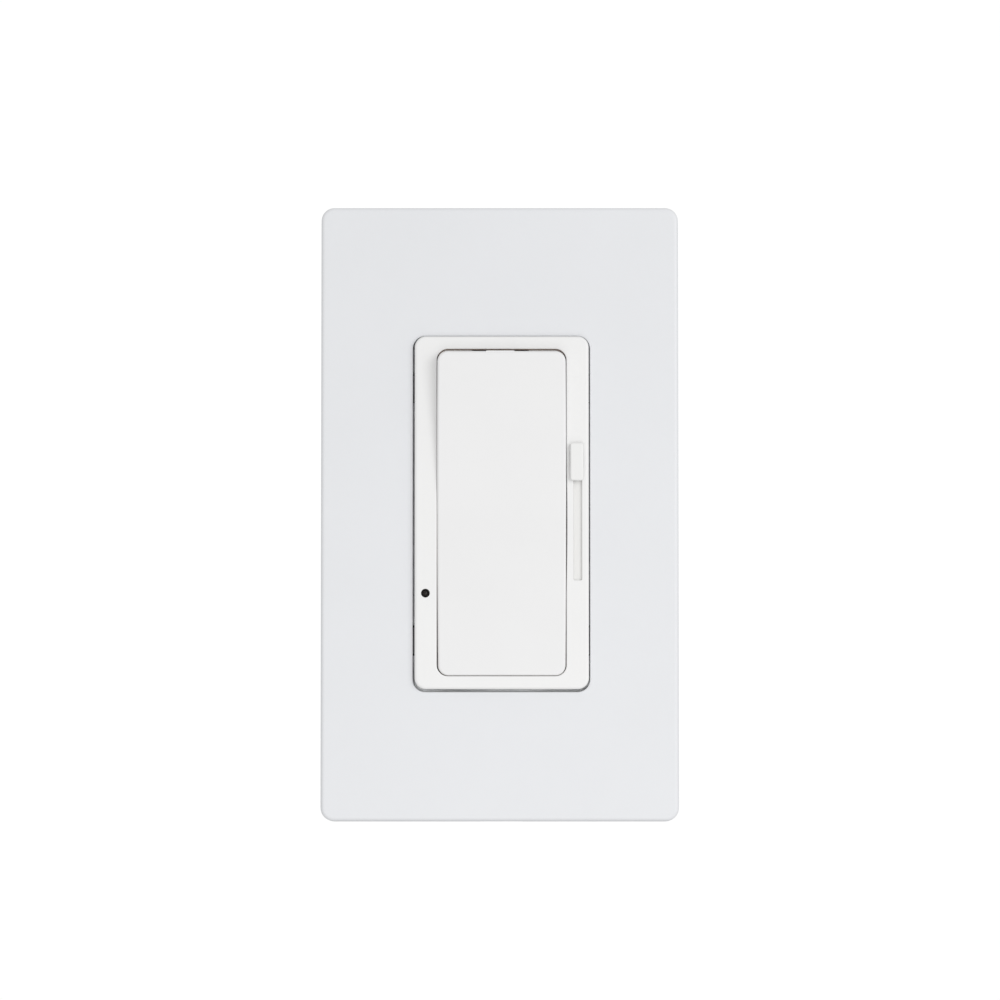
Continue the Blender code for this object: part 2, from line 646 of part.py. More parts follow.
def slide_potentiometer():
    """The slide control's frame and resistive track."""
    steel = material("pot_frame_steel", STEEL, 0.42, 1.0)
    frame = prism("pot_frame", rounded_rectangle(3.9, 17.5, 0.6, (RAIL_X, 0.0), 2), 0.4, 6.4, steel)
    hollow = rounded_rectangle(3.2, 16.8, 0.3, (RAIL_X, 0.0), 1)
    slot = rounded_rectangle(0.85, 12.4, 0.4, (RAIL_X, 0.0), 2)
    cut(frame, prism("pot_hollow", hollow, 1.1, 7.5), prism("pot_slot", slot, -1.0, 2.0))
    track = rectangle(RAIL_X - 2.9, RAIL_X + 2.9, -16.4, 16.4)
    prism("pot_track", track, 5.5, 6.2, material("phenolic_track", (0.12, 0.07, 0.04), 0.5))
    return frame


# Circuit board and what it carries


def circuit_board():
    finish = material("board_green", (0.02, 0.13, 0.05), 0.45)
    board = prism("circuit_board", rounded_rectangle(BOARD_HALF_X, BOARD_HALF_Z, 1.0, steps=2),
                  BOARD_FRONT, BOARD_BACK, finish)
    cut(board, prism("board_window", rounded_rectangle(4.6, 9.6, 0.8, steps=2), 5.0, 10.0))
    holes = [(x, TRIAC_LEG_Z) for x in TRIAC_LEGS]
    holes += [(-RAIL_X + sign * LED_LEG_GAP, INDICATOR_Z) for sign in (-1, 1)]
    for number, centre in enumerate(holes):
        cut(board, prism(f"board_hole_{number}", circle(LEG_HOLE, centre, 6), 5.0, 10.0))
    return board


def triac():
    """The switching triac on the yoke, with its insulating pad and screw."""
    plastic = material("triac_black", BLACK_PLASTIC, 0.4)
    x, hole_z = TRIAC_SCREW
    body = prism("triac", rounded_rectangle(5.0, 4.5, 0.3, (x, 18.1), 1), 0.7, 5.1, plastic)
    tab = prism("triac_tab", rectangle(x - 4.99, x + 4.99, 20.0, 29.4), 0.71, 2.0)
    join(body, tab)
    for number, leg_x in enumerate(TRIAC_LEGS):
        side = rectangle(leg_x - 0.4, leg_x + 0.4, TRIAC_LEG_Z - 0.28, 15.0)
        tail = rectangle(leg_x - 0.39, leg_x + 0.39, TRIAC_LEG_Z - 0.3, TRIAC_LEG_Z + 0.3)
        join(body, prism(f"triac_leg_{number}", side, 2.6, 3.2),
             prism(f"triac_tail_{number}", tail, 2.61, 9.2))
    cut(body, prism("triac_hole", circle(1.9, TRIAC_SCREW, 12), 0.0, 3.0))
    pad = prism("triac_pad", rounded_rectangle(5.8, 8.6, 0.5, (x, 21.5), 1), 0.15, 0.45,
                material("thermal_pad", (0.55, 0.57, 0.60), 0.7))
    cut(pad, prism("pad_hole", circle(1.9, TRIAC_SCREW, 12), -1.0, 1.0))
    steel = material("triac_screw_steel", STEEL, 0.35, 1.0)
    head = ((-2.8, 1.6), (-2.5, 2.3), (-1.8, 2.5))
    machine_screw("triac_screw", head, 1.45, -1.8, 4.2, steel, TRIAC_SCREW, "cross")
    x, z = TRIAC_SCREW
    nut = prism("triac_nut", circle(2.9, (x, z), 6), 2.3, 3.8, material("nut_steel", STEEL, 0.35, 1.0))
    cut(nut, prism("nut_bore", circle(1.75, (x, z), 12), 1.0, 5.0))
    return body


def choke():
    """The toroidal noise choke: a ring core and its winding."""
    inner, outer, half_height = 4.0, 7.1, 2.9
    chamfer = 0.5
    core = turned("choke_core", ((CHOKE_Y - half_height, outer - chamfer),
                                 (CHOKE_Y - half_height + chamfer, outer),
                                 (CHOKE_Y + half_height - chamfer, outer),
                                 (CHOKE_Y + half_height, outer - chamfer)),
                  material("choke_core_yellow", (0.75, 0.60, 0.08), 0.55), CHOKE, sides=20)
    bore = ((CHOKE_Y - 5.0, inner + 2.5), (CHOKE_Y - half_height + chamfer, inner),
            (CHOKE_Y + half_height - chamfer, inner), (CHOKE_Y + 5.0, inner + 2.5))
    cut(core, turned("choke_bore", bore, centre=CHOKE, sides=20))
    middle = (inner + outer) / 2
    reach, rise = 2.55, 3.85
    per_turn = 8
    steps = CHOKE_TURNS * per_turn
    points = []
    for i in range(steps + 1):
        swing = 2 * math.pi * (i + 0.5) / per_turn
        around = 2 * math.pi * 0.93 * i / steps + math.radians(100)
        side = math.copysign(abs(math.cos(swing)) ** 0.5, math.cos(swing))
        lift = math.copysign(abs(math.sin(swing)) ** 0.5, math.sin(swing))
        radius = middle + reach * side
        points.append((CHOKE[0] + radius * math.cos(around), CHOKE_Y - rise * lift,
                       CHOKE[1] + radius * math.sin(around)))
    points.insert(0, (points[0][0], SEAT, points[0][2]))
    points.append((points[-1][0], SEAT, points[-1][2]))
    winding = sweep("choke_winding", points, 0.33, material("winding_copper", COPPER, 0.3, 1.0), 0)
    return core, winding


def board_capacitors():
    x, z = FILM_CAPACITOR
    block = rounded_rectangle(9.0, 3.75, 0.8, (x, z), 2)
    film = prism("film_capacitor", block, SEAT, SEAT + 13.0,
                 material("film_capacitor_yellow", (0.80, 0.66, 0.18), 0.4))
    x, z = TIMING_CAPACITOR
    small = rounded_rectangle(3.6, 1.3, 0.6, (x, z), 2)
    timing = prism("timing_capacitor", small, SEAT, SEAT + 6.5,
                   material("timing_capacitor_green", (0.10, 0.28, 0.12), 0.4))
    return film, timing


def axial_part(name, x, radii, finish):
    """A resistor or diac lying along Z, with legs bent down to the board."""
    lie = SEAT + 1.8
    body = turned(name, radii, finish, (x, lie), "Z", 10)
    body_end = radii[-1][0]
    end = body_end + 1.3
    for side, sign in (("top", 1), ("bottom", -1)):
        low, high = sorted((sign * (body_end - 0.4), sign * end))
        leg = prism(f"{name}_leg_{side}", circle(0.3, (x, lie), 6), low, high, axis="Z")
        foot = prism(f"{name}_foot_{side}", circle(0.32, (x, sign * (end - 0.3)), 6), SEAT, lie)
        join(body, leg, foot)
    return body


def axial_parts():
    half = ((1.8, 1.0), (2.1, 1.25), (3.0, 1.25), (3.3, 0.7))
    shape = [(-along, radius) for along, radius in reversed(half)] + list(half)
    axial_part("resistor", RESISTOR_X, shape, material("resistor_tan", (0.62, 0.48, 0.30), 0.5))
    glass = ((-2.0, 0.6), (-1.8, 0.95), (1.8, 0.95), (2.0, 0.6))
    axial_part("diac", DIAC_X, glass, material("diac_blue", (0.10, 0.20, 0.45), 0.25))


def trim_potentiometer():
    """The small trimmer that sets the lowest light level: a cup and the rotor turning in it."""
    x, z = TRIM_POT
    cup = prism("trim_pot_body", rounded_rectangle(3.4, 3.4, 0.4, TRIM_POT, 1), SEAT, SEAT + 4.2,
                material("trim_pot_blue", (0.05, 0.16, 0.50), 0.45))
    cut(cup, prism("trim_pot_cup", circle(2.5, TRIM_POT, 16), SEAT + 2.8, SEAT + 6.0))
    rotor = turned("trim_pot_rotor", ((3.1, 2.2), (4.6, 2.2), (4.8, 1.95)),
                   material("trim_rotor_white", (0.80, 0.80, 0.78), 0.45), sides=16)
    place(rotor, x, SEAT, z)
    slot = prism("trim_rotor_slot", rectangle(-0.3, 0.3, -1.6, 1.6), 4.2, 5.5)
    cross = prism("trim_rotor_cross", rectangle(-1.0, 1.0, -0.3, 0.3), 4.2, 5.5)
    place(slot, x, SEAT, z)
    place(cross, x, SEAT, z)
    return cut(rotor, slot, cross)


def indicator():
    """The locator light: a lamp on the board and the dark light pipe in the bezel's hole."""
    centre = (-RAIL_X, INDICATOR_Z)
    dome_and_flange = ((1.6, 0.5), (2.0, 1.2), (2.7, 1.45), (5.6, 1.45), (5.6, 1.75), (6.4, 1.75))
    lamp = turned("indicator_led", dome_and_flange, material("led_amber", (0.65, 0.28, 0.05), 0.2), centre)
    for number, sign in enumerate((-1, 1)):
        x = -RAIL_X + sign * LED_LEG_GAP
        leg = rectangle(x - 0.22, x + 0.22, INDICATOR_Z - 0.22, INDICATOR_Z + 0.22)
        join(lamp, prism(f"led_leg_{number}", leg, 6.0, 9.2))
    pipe = ((-7.3, 0.3), (-7.15, 0.6), (-6.3, 0.6), (-6.3, 0.98), (1.2, 0.98))
    return lamp, turned("indicator_lens", pipe, material("smoked_lens", (0.03, 0.02, 0.02), 0.15), centre)


def switch_mechanism():
    """The changeover switch behind the board: a cup, a rocking blade and three terminals."""
    base = prism("switch_base", rounded_rectangle(SWITCH_HALF_X, SWITCH_HALF_Z, 0.6, steps=2), SEAT,
                 SWITCH_BACK, material("switch_base_black", (0.05, 0.05, 0.055), 0.5))
    floor = SWITCH_BACK - 1.4
    cut(base, prism("switch_hollow", rounded_rectangle(4.7, 9.8, 0.5, steps=2), SEAT - 1.0, floor))
    brass = material("contact_brass", BRASS, 0.3, 1.0)
    for name, z in (("common_terminal", 0.0), ("upper_contact", CONTACT_Z), ("lower_contact", -CONTACT_Z)):
        foot = rectangle(-1.7, 1.7, z - 1.5, z + 1.5)
        piece = prism(name, foot, floor - 0.7, floor - 0.2, brass)
        tail = rectangle(-1.5, 1.5, z - 0.4, z + 0.4)
        join(piece, prism(f"{name}_tail", tail, floor - 0.5, TERMINAL_TAIL))
        if z:
            join(piece, prism(f"{name}_button", circle(1.2, (0.0, z), 10), floor - 1.2, floor - 0.6))
        else:
            fulcrum = rectangle(-1.5, 1.5, -0.39, 0.39)
            join(piece, prism(f"{name}_fulcrum", fulcrum, BLADE_Y + 0.42, floor - 0.4))
        passage = rectangle(-1.7, 1.7, z - 0.6, z + 0.6)
        cut(base, prism(f"{name}_passage", passage, floor - 2.0, SWITCH_BACK + 1.0))
    blade = prism("contact_blade", rounded_rectangle(2.2, 8.8, 0.6, steps=2), -0.25, 0.25,
                  material("blade_brass", BRASS, 0.28, 1.0))
    place(blade, 0.0, BLADE_Y, 0.0, -BLADE_TILT)
    for number, z in enumerate((-CONTACT_Z, CONTACT_Z)):
        button = place(prism(f"blade_button_{number}", circle(1.2, (0.0, z), 10), -0.45, 0.5),
                       0.0, BLADE_Y, 0.0, -BLADE_TILT)
        join(blade, button)
    return base


# Housing and leads


def rear_housing():
    finish = material("housing_black", BLACK_PLASTIC, 0.5)
    front = rounded_rectangle(HOUSING_HALF_X, HOUSING_HALF_Z, 3.0)
    narrow_x, narrow_z = HOUSING_HALF_X - HOUSING_DRAFT, HOUSING_HALF_Z - HOUSING_DRAFT
    back = rounded_rectangle(narrow_x, narrow_z, 3.0)
    ending = rounded_rectangle(narrow_x - 0.8, narrow_z - 0.8, 2.2)
    outside = ((HOUSING_FRONT, front), (HOUSING_BACK - 0.8, back), (HOUSING_BACK, ending))
    shell = loft("rear_housing", outside, finish)
    wall = HOUSING_WALL
    inner_front = rounded_rectangle(HOUSING_HALF_X - wall, HOUSING_HALF_Z - wall, 1.4)
    inner_back = rounded_rectangle(narrow_x - wall, narrow_z - wall, 1.4)
    hollow = ((HOUSING_FRONT - 1.0, inner_front), (HOUSING_BACK - wall, inner_back))
    cut(shell, loft("housing_hollow", hollow))
    for x in (-CASE_SCREW[0], CASE_SCREW[0]):
        for z in (-CASE_SCREW[1], CASE_SCREW[1]):
            label = f"{x:.0f}_{z:.0f}"
            boss = prism(f"housing_boss_{label}", circle(2.25, (x, z), 14), HOUSING_FRONT + 0.01, 14.0)
            pilot = prism(f"housing_pilot_{label}", circle(1.25, (x, z), 10), -1.0, 10.5)
            join(shell, boss)
            cut(shell, pilot)
    for name, x, *_ in LEADS:
        exit_hole = circle(LEAD_RADIUS + 0.3, (x, LEAD_Z), 12)
        cut(shell, prism(f"{name}_exit", exit_hole, HOUSING_BACK - 4.0, HOUSING_BACK + 1.0))
    return shell


def stripped_lead(name, path, colour):
    """An insulated lead with its bared conductor set into its end."""
    jacket = sweep(name, path, LEAD_RADIUS, material(f"{name}_jacket", colour, 0.45), 2)
    end, before = path[-1], path[-2]
    step = [a - b for a, b in zip(end, before)]
    length = math.sqrt(sum(s * s for s in step))
    way = [s / length for s in step]
    tip = [e + w * STRIP_LENGTH for e, w in zip(end, way)]
    sweep(f"{name}_conductor", [[e + w * 0.15 for e, w in zip(end, way)], tip], STRAND_RADIUS,
          material(f"{name}_copper", COPPER, 0.3, 1.0), 2)
    return jacket


def leads():
    for name, x, colour, *bend in LEADS:
        board_end = (x, SEAT + 0.3, LEAD_Z)
        wall_end = (x, HOUSING_BACK + 3.0, LEAD_Z)
        stripped_lead(name, [board_end, *bezier(wall_end, *bend, BEND_STEPS)], colour)
    start = (GROUND_BARREL_X, 1.8, GROUND_RIVET[1])
    straight = (GROUND_BARREL_X, 9.0, GROUND_RIVET[1])
    stripped_lead("green_lead", [start, *bezier(straight, *GROUND_BEND, BEND_STEPS)], GROUND_GREEN)


def hang():
    """Hang the finished device under the origin."""
    loose = [item for item in bpy.context.scene.objects if item.parent is None]
    centre = empty("device_centre", z=-HANG)
    for item in loose:
        item.parent = centre


def build():
    clear_scene()
    pivot = empty("paddle_pivot", y=PIVOT_Y, tilt=ROCK)
    slider = empty("slider_carriage", x=RAIL_X, z=SLIDER_Z)
    wall_plate()
    adapter_plate()
    screws()
    yoke()
    ground_terminal()
    bezel()
    paddle(pivot)
    plunger(pivot)
    slider_knob(slider)
    slot_shutter(slider)
    lever_and_wiper(slider)
    slide_potentiometer()
    circuit_board()
    triac()
    choke()
    board_capacitors()
    axial_parts()
    trim_potentiometer()
    indicator()
    switch_mechanism()
    rear_housing()
    leads()
    hang()


build()
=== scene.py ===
"""The looks of a white slide dimmer with a rocker switch and a screwless wall plate.

Sizes are in millimetres about the device's centre: X to the right, Y into the wall and Z up. The
helpers turn them into metres and put them at the bezel's centre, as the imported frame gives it.
"""

import json
import math

import bmesh
import bpy
from mathutils import Matrix, Vector


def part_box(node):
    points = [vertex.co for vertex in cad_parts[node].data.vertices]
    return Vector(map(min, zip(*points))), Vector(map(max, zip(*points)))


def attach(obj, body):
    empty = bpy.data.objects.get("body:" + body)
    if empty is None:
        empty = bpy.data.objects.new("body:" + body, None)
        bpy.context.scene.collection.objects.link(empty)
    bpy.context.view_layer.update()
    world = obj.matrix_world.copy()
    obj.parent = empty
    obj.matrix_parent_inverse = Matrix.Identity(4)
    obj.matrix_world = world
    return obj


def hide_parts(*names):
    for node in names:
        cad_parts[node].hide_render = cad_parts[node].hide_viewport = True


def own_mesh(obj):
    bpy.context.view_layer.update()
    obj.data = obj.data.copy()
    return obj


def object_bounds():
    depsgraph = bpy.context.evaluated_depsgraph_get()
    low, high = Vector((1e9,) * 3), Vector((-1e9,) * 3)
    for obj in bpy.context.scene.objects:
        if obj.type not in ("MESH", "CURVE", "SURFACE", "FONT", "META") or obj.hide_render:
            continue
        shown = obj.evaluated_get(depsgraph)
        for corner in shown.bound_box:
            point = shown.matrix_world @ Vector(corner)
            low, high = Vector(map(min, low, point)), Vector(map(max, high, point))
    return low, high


MM = 0.001

# Wall plate
PLATE_HALF = (34.0, 58.2)
PLATE_FLOAT = (-0.35, -0.1)
PLATE_FRONT = -6.6
PLATE_BACK = -0.2
PLATE_RADIUS = 2.7
PLATE_DRAFT = 0.25
PLATE_EDGE = 0.7
PLATE_SKIN = 1.8
PLATE_WALL = 1.4
PRY_NOTCH_HALF = 4.0
LUG_Y = (-2.6, -1.7)
LUG_HALF_Z = 0.55
WINDOW_FLOAT = (-0.04, -0.15)
WINDOW_HALF = (16.71, 33.61)
WINDOW_RADIUS = 2.35
WINDOW_LIP = 0.22
CATCH_X = 14.0
CATCH_HALF = 3.0
CATCH_Y = (-3.6, -2.9)
CATCH_REACH = 0.4

# Adapter plate and yoke
ADAPTER_HALF = (31.5, 56.0)
ADAPTER_Y = (-4.2, -0.3)
ADAPTER_SKIN = 2.4
ADAPTER_RIM = 1.5
ADAPTER_WINDOW_GAP = 0.38
RIB_HALF = 0.4
RIB_X = 26.8
RIB_PITCH = 15.0
CROSS_RIB_START = 23.5
YOKE_Y = (-1.5, -0.1)
YOKE_HALF = (22.5, 39.5)
YOKE_END = 53.2
EAR_START = 46.4
EAR_HALF_X = 16.0
NECK_HALF_X = 12.0
BOX_SCREW_Z = 41.65
PLATE_SCREW_Z = 48.4
SCREW_PITCH = 0.794
CASE_PITCH = 0.9
CASE_SCREW_X = (-18.9, 18.9)
CASE_SCREW_Z = 30.5
GROUND_RIVET = (-10.0, -37.0)
GROUND_BARREL_X = -15.5
GROUND_Y = (0.2, 1.0)
TRIAC_SCREW = (-7.5, 26.5)

# Bezel
BEZEL_HALF = (16.42, 33.29)
BEZEL_FLOAT = (0.02, 0.05)
BEZEL_Y = (-8.0, -1.9)
BEZEL_RADIUS = 2.1
BEZEL_EDGE = 0.5
OPENING_HALF = (12.22, 30.86)
OPENING_FLOAT = (0.0, 0.07)
OPENING_RADIUS = 2.1
OPENING_LIP = 0.18
THIN_WALL_BOW = 0.17
THIN_WALL_Z = (-14.8, 12.0)
# Painted warm light on the walls of the bezel's opening: how far it reaches past the opening, and the depth
# along Y over which it fades in
GAP_LIGHT_MARGIN = 0.5
GAP_LIGHT_Y = (-7.85, -7.4)
CHANNEL_HALF = (1.24, 32.3)
LIGHT_SIDE_SKIN = 1.4
SLOT_SIDE_SKIN = 0.5
RAIL_X = 14.36
SLOT_X = 14.35
SLOT_HALF = (0.8, 12.75)
SLOT_RADIUS = 0.25
SLOT_LIP = 0.1
INDICATOR_Z = -15.18
INDICATOR_RADIUS = 0.82
PIPE_RADIUS = 0.6
PIPE_TIP = -7.3
SNAP_Z = 24.0
SNAP_HALF = 2.5
SNAP_THICKNESS = 0.95
SNAP_TIP = 17.15
HOOK_Y = (0.2, 0.5, 1.25)

# Rocker paddle, in its own frame: its pivot is the origin and it leans by ROCK
PIVOT_Y = -4.3
ROCK = 3.0
FOLD = 3.0
FOLD_SOFTNESS = 2.2
PADDLE_HALF = (12.055, 30.53)
PADDLE_SHIFT = (0.012, 0.04)
PADDLE_RADIUS = 1.9
PADDLE_BOW = 0.135
PADDLE_LOWER_BOW = 0.19
PADDLE_SKEW = 0.03
PADDLE_FACE = -3.8
PADDLE_EDGE = 0.45
PADDLE_SKIRT = 1.2
PADDLE_SKIN = 1.6
CUTS_ACROSS = (0.5, 1.0, 1.6, 2.3, 3.2, 4.4, 6.0, 8.0, 11.0, 15.0, 20.0, 25.0)
TRUNNION_RADIUS = 1.05
TRUNNION_X = (11.5, 13.0)
BEARING_RADIUS = 1.3
BOSS_RADIUS = 2.5
BOSS_BORE = 1.75
BOSS_FLOOR = 2.8
BOSS_END = 11.8
FLANGE = 0.33
FLANGE_Y = -0.7
TAB_REACH = 0.1
TAB_X = (-2.9, 2.4)
TAB_RELIEF = 2.7
TAB_RELIEF_START = 0.18
SPRING_WIRE = 0.16
SPRING_RADIUS = 1.2
SPRING_COILS = 6
SPRING_Y = (3.05, 7.05)

# Slide control
KNOB_HALF = (1.25, 3.54)
KNOB_X = 14.18
KNOB_Y = (-9.15, -8.2)
KNOB_SKIN = 0.25
KNOB_EDGE = 0.3
KNOB_RADIUS = 0.5
SLIDER_Z = 9.57
SOCKET_HALF = (0.65, 2.45)
SHUTTER_HALF_X = 0.97
SHUTTER_Y = (-7.42, -7.0)
SHUTTER_Z = (-12.85, 31.75)

# Housing and leads
HOUSING_HALF = (21.5, 33.5)
HOUSING_Y = (0.3, 28.0)
HOUSING_DRAFT = 0.8
HOUSING_WALL = 1.6
HOUSING_EDGE = 0.8
HOUSING_RADIUS = 3.0
HOLLOW_RADIUS = 1.4
BOSS_HOLE = 1.25
GROOVES = (-10.0, -13.0, -16.0, -19.0)
LEAD_START = 8.9
GROUND_LEAD_START = 1.8
LEAD_RADIUS = 1.25
LEAD_Z = -25.2
STRIP_LENGTH = 10.9
STRAND_RADIUS = 0.2
STRAND_LAY = 9.0
BENDS = {
    "black_lead": ((4.0, 31.0, LEAD_Z), (3.0, 52.0, -26.0), (-2.0, 66.0, -28.0), (-7.0, 84.0, -38.0)),
    "red_lead": ((9.5, 31.0, LEAD_Z), (9.5, 54.0, -25.0), (10.0, 68.0, -24.0), (7.0, 88.0, -31.0)),
    "yellow_lead": ((15.0, 31.0, LEAD_Z), (16.0, 50.0, -26.0), (21.0, 66.0, -30.0), (22.0, 84.0, -40.0)),
    "green_lead": ((-15.5, 9.0, -37.0), (-15.5, 40.0, -37.0), (-20.0, 60.0, -36.0), (-22.0, 82.0, -44.0)),
}

# How far the CAD nodes' edges are softened, and the angle that stays sharp in shading
EDGES = {"choke_winding": 0.0, "pot_wiper": 0.03, "diac": 0.05, "resistor": 0.05}
USUAL_EDGE = 0.1
SHARP_ANGLE = 35.0
WELD_DISTANCE = 0.002

# Stage, in metres from the device's centre
FLOOR_DROP = 0.14
FLOOR_REACH = 1.3
FLOOR_FADE = (0.3, 0.95)
SURROUND = 0.675
BACKDROP = 1.02
LIGHTS = (
    ("key", (0.66, -0.95, 0.20), 0.6, 3.55),
    ("fill", (0.0, -0.30, -0.11), 0.2, 0.14),
)
CAMERA_DISTANCE = 0.8
CAMERA_DROP = 2.5
SENSOR = 36.0
LENS = 152.56
SHIFT = (-0.0016, 0.0129)

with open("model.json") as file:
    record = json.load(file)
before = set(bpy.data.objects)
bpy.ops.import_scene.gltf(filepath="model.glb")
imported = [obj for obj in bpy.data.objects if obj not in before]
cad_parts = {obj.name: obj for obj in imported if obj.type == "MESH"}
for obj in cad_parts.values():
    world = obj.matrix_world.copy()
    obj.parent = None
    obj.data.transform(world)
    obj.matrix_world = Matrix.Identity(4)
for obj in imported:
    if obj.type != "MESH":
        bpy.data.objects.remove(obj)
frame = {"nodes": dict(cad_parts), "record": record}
cad_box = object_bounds()
bezel_low, bezel_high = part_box("bezel")
CENTRE = Vector((0.0, 0.0, (bezel_low.z + bezel_high.z) / 2))
SLOT_OF = {part["node"]: part["material_slot"] for part in frame["record"]["subparts"]}
BODY_OF = {node: body for body, nodes in frame["record"]["behaviour"]["bodies"].items() for node in nodes}


# Materials. Every pattern is laid out in millimetres on the piece itself

# Where a noise signal mostly lies
NOISE_RANGE = (0.3, 0.7)


class Finish:
    """A material under construction: a Principled shader and the nodes that drive it."""

    def __init__(self, name, colour, roughness, metallic=0.0):
        self.material = bpy.data.materials.new(name)
        self.material.use_nodes = True
        self.material.diffuse_color = (*colour, 1.0)
        self.tree = self.material.node_tree
        self.shader = self.tree.nodes["Principled BSDF"]
        self.set("Base Color", (*colour, 1.0))
        self.set("Roughness", roughness)
        self.set("Metallic", metallic)
        self.colour = colour
        self.roughness = roughness
        self.height = None

    def set(self, name, value):
        self.shader.inputs[name].default_value = value

    def node(self, kind, **values):
        made = self.tree.nodes.new(kind)
        for key, value in values.items():
            setattr(made, key, value)
        return made

    def link(self, source, target):
        self.tree.links.new(source, target)

    def feed(self, source, name):
        self.link(source, self.shader.inputs[name])

    def place(self, stretch=(1.0, 1.0, 1.0)):
        """Coordinates in millimetres, stretched along each axis."""
        where = self.node("ShaderNodeTexCoord")
        mapping = self.node("ShaderNodeMapping")
        mapping.inputs["Scale"].default_value = tuple(value / MM for value in stretch)
        self.link(where.outputs["Object"], mapping.inputs["Vector"])
        return mapping.outputs["Vector"]

    def coordinates(self):
        """The X, Y and Z of a point in millimetres, as sockets by name."""
        split = self.node("ShaderNodeSeparateXYZ")
        self.link(self.place(), split.inputs["Vector"])
        return split.outputs

    def noise(self, size, detail=2.0, stretch=(1.0, 1.0, 1.0)):
        """Noise whose features are about size millimetres wide."""
        made = self.node("ShaderNodeTexNoise")
        made.inputs["Scale"].default_value = 1.0 / size
        made.inputs["Detail"].default_value = detail
        self.link(self.place(stretch), made.inputs["Vector"])
        return made.outputs["Fac"]

    def ramp(self, source, stops, interpolation="LINEAR"):
        """A colour ramp over (place, colour) stops."""
        made = self.node("ShaderNodeValToRGB")
        made.color_ramp.interpolation = interpolation
        elements = made.color_ramp.elements
        while len(elements) < len(stops):
            elements.new(0.5)
        for element, (place, colour) in zip(elements, stops):
            element.position = place
            element.color = (*colour, 1.0)
        self.link(source, made.inputs["Fac"])
        return made.outputs["Color"]

    def rescale(self, source, start, end, low=0.0, high=1.0, **values):
        """Map start to end of a signal onto low to high."""
        made = self.node("ShaderNodeMapRange", **values)
        for name, value in (("From Min", start), ("From Max", end), ("To Min", low), ("To Max", high)):
            made.inputs[name].default_value = value
        self.link(source, made.inputs["Value"])
        return made.outputs["Result"]

    def mottle(self, size, amount, stretch=(1.0, 1.0, 1.0)):
        """Slight lighter and darker patches of the base colour."""
        low = tuple(max(0.0, c * (1 - amount)) for c in self.colour)
        high = tuple(min(1.0, c * (1 + amount)) for c in self.colour)
        low_noise, high_noise = NOISE_RANGE
        colour = self.ramp(self.noise(size, 3.0, stretch), ((low_noise, low), (high_noise, high)))
        self.feed(colour, "Base Color")
        return self

    def math(self, operation, first, second):
        made = self.node("ShaderNodeMath", operation=operation)
        for value, socket in zip((first, second), made.inputs):
            if isinstance(value, (int, float)):
                socket.default_value = value
            else:
                self.link(value, socket)
        return made.outputs["Value"]

    def paint_gap_light(self, half_x, half_z, start, end, light_colour):
        """Paint warm light onto an opening's walls, fading in from start to end along Y: painted light for
        the glow that pale plastic passes into a gap.
        """
        point = self.coordinates()
        factor = self.rescale(point["Y"], start, end)
        for axis, half, centre in (("X", half_x, 0.0), ("Z", half_z, CENTRE.z / MM)):
            offset = self.math("SUBTRACT", point[axis], centre)
            inside = self.math("LESS_THAN", self.math("ABSOLUTE", offset, 0.0), half)
            factor = self.math("MULTIPLY", factor, inside)
        mix = self.node("ShaderNodeMix", data_type="RGBA", blend_type="MULTIPLY")
        self.link(factor, mix.inputs["Factor"])
        self.link(self.shader.inputs["Base Color"].links[0].from_socket, mix.inputs["A"])
        mix.inputs["B"].default_value = (*light_colour, 1.0)
        self.feed(mix.outputs["Result"], "Base Color")
        return self

    def polish(self, size, amount, stretch=(1.0, 1.0, 1.0)):
        """Patches that are a little glossier or duller."""
        signal = self.noise(size, 3.0, stretch)
        low, high = self.roughness - amount, self.roughness + amount
        self.feed(self.rescale(signal, *NOISE_RANGE, low, high), "Roughness")
        return self

    def grain(self, size, depth, stretch=(1.0, 1.0, 1.0), detail=2.0):
        """Fine relief, depth in millimetres. Each call lies on top of the last."""
        bump = self.node("ShaderNodeBump")
        bump.inputs["Distance"].default_value = depth * MM
        self.link(self.noise(size, detail, stretch), bump.inputs["Height"])
        if self.height:
            self.link(self.height, bump.inputs["Normal"])
        self.height = bump.outputs["Normal"]
        self.feed(self.height, "Normal")
        return self


def moulded(name, colour, roughness, relief=0.0012, patch=0.006):
    """Injection-moulded plastic: nearly even, with the tool's very fine texture."""
    finish = Finish(name, colour, roughness)
    finish.set("IOR", 1.48)
    finish.mottle(14.0, patch).polish(3.0, 0.03)
    return finish.grain(0.22, relief).grain(5.0, relief * 2)


def thermoset(name, colour, roughness, relief=0.012):
    """Dark filled moulding with a spark-eroded texture and pale wear."""
    finish = Finish(name, colour, roughness)
    finish.mottle(2.5, 0.25).polish(0.8, 0.08)
    return finish.grain(0.3, relief, detail=4.0).grain(2.5, relief)


def metal(name, colour, roughness, streak=(1.0, 1.0, 1.0), mark=0.08):
    """Plain or plated metal; streak above 1 along an axis makes the marks finer along it."""
    finish = Finish(name, colour, roughness, 1.0)
    finish.mottle(3.0, mark, streak).polish(1.2, 0.07, streak)
    return finish.grain(0.5, 0.003, streak, 4.0).grain(6.0, 0.003)


def insulation(name, colour):
    """Extruded wire insulation with faint lengthwise drag and a dusty bloom."""
    finish = Finish(name, colour, 0.38)
    finish.mottle(4.0, 0.10, (1.0, 0.15, 1.0)).polish(2.0, 0.07)
    return finish.grain(0.5, 0.006, (1.0, 0.08, 1.0)).grain(3.0, 0.01)


def banded(name, colour, roughness, bands):
    """Rings of colour along Z, as (z in mm, colour) starts above the device's centre."""
    finish = Finish(name, colour, roughness)
    low, high = bands[0][0], bands[-1][0]
    span = finish.rescale(finish.coordinates()["Z"], low + CENTRE.z / MM, high + CENTRE.z / MM)
    stops = [((start - low) / (high - low), paint) for start, paint in bands]
    finish.feed(finish.ramp(span, stops, "CONSTANT"), "Base Color")
    return finish.polish(1.0, 0.05).grain(0.4, 0.006)


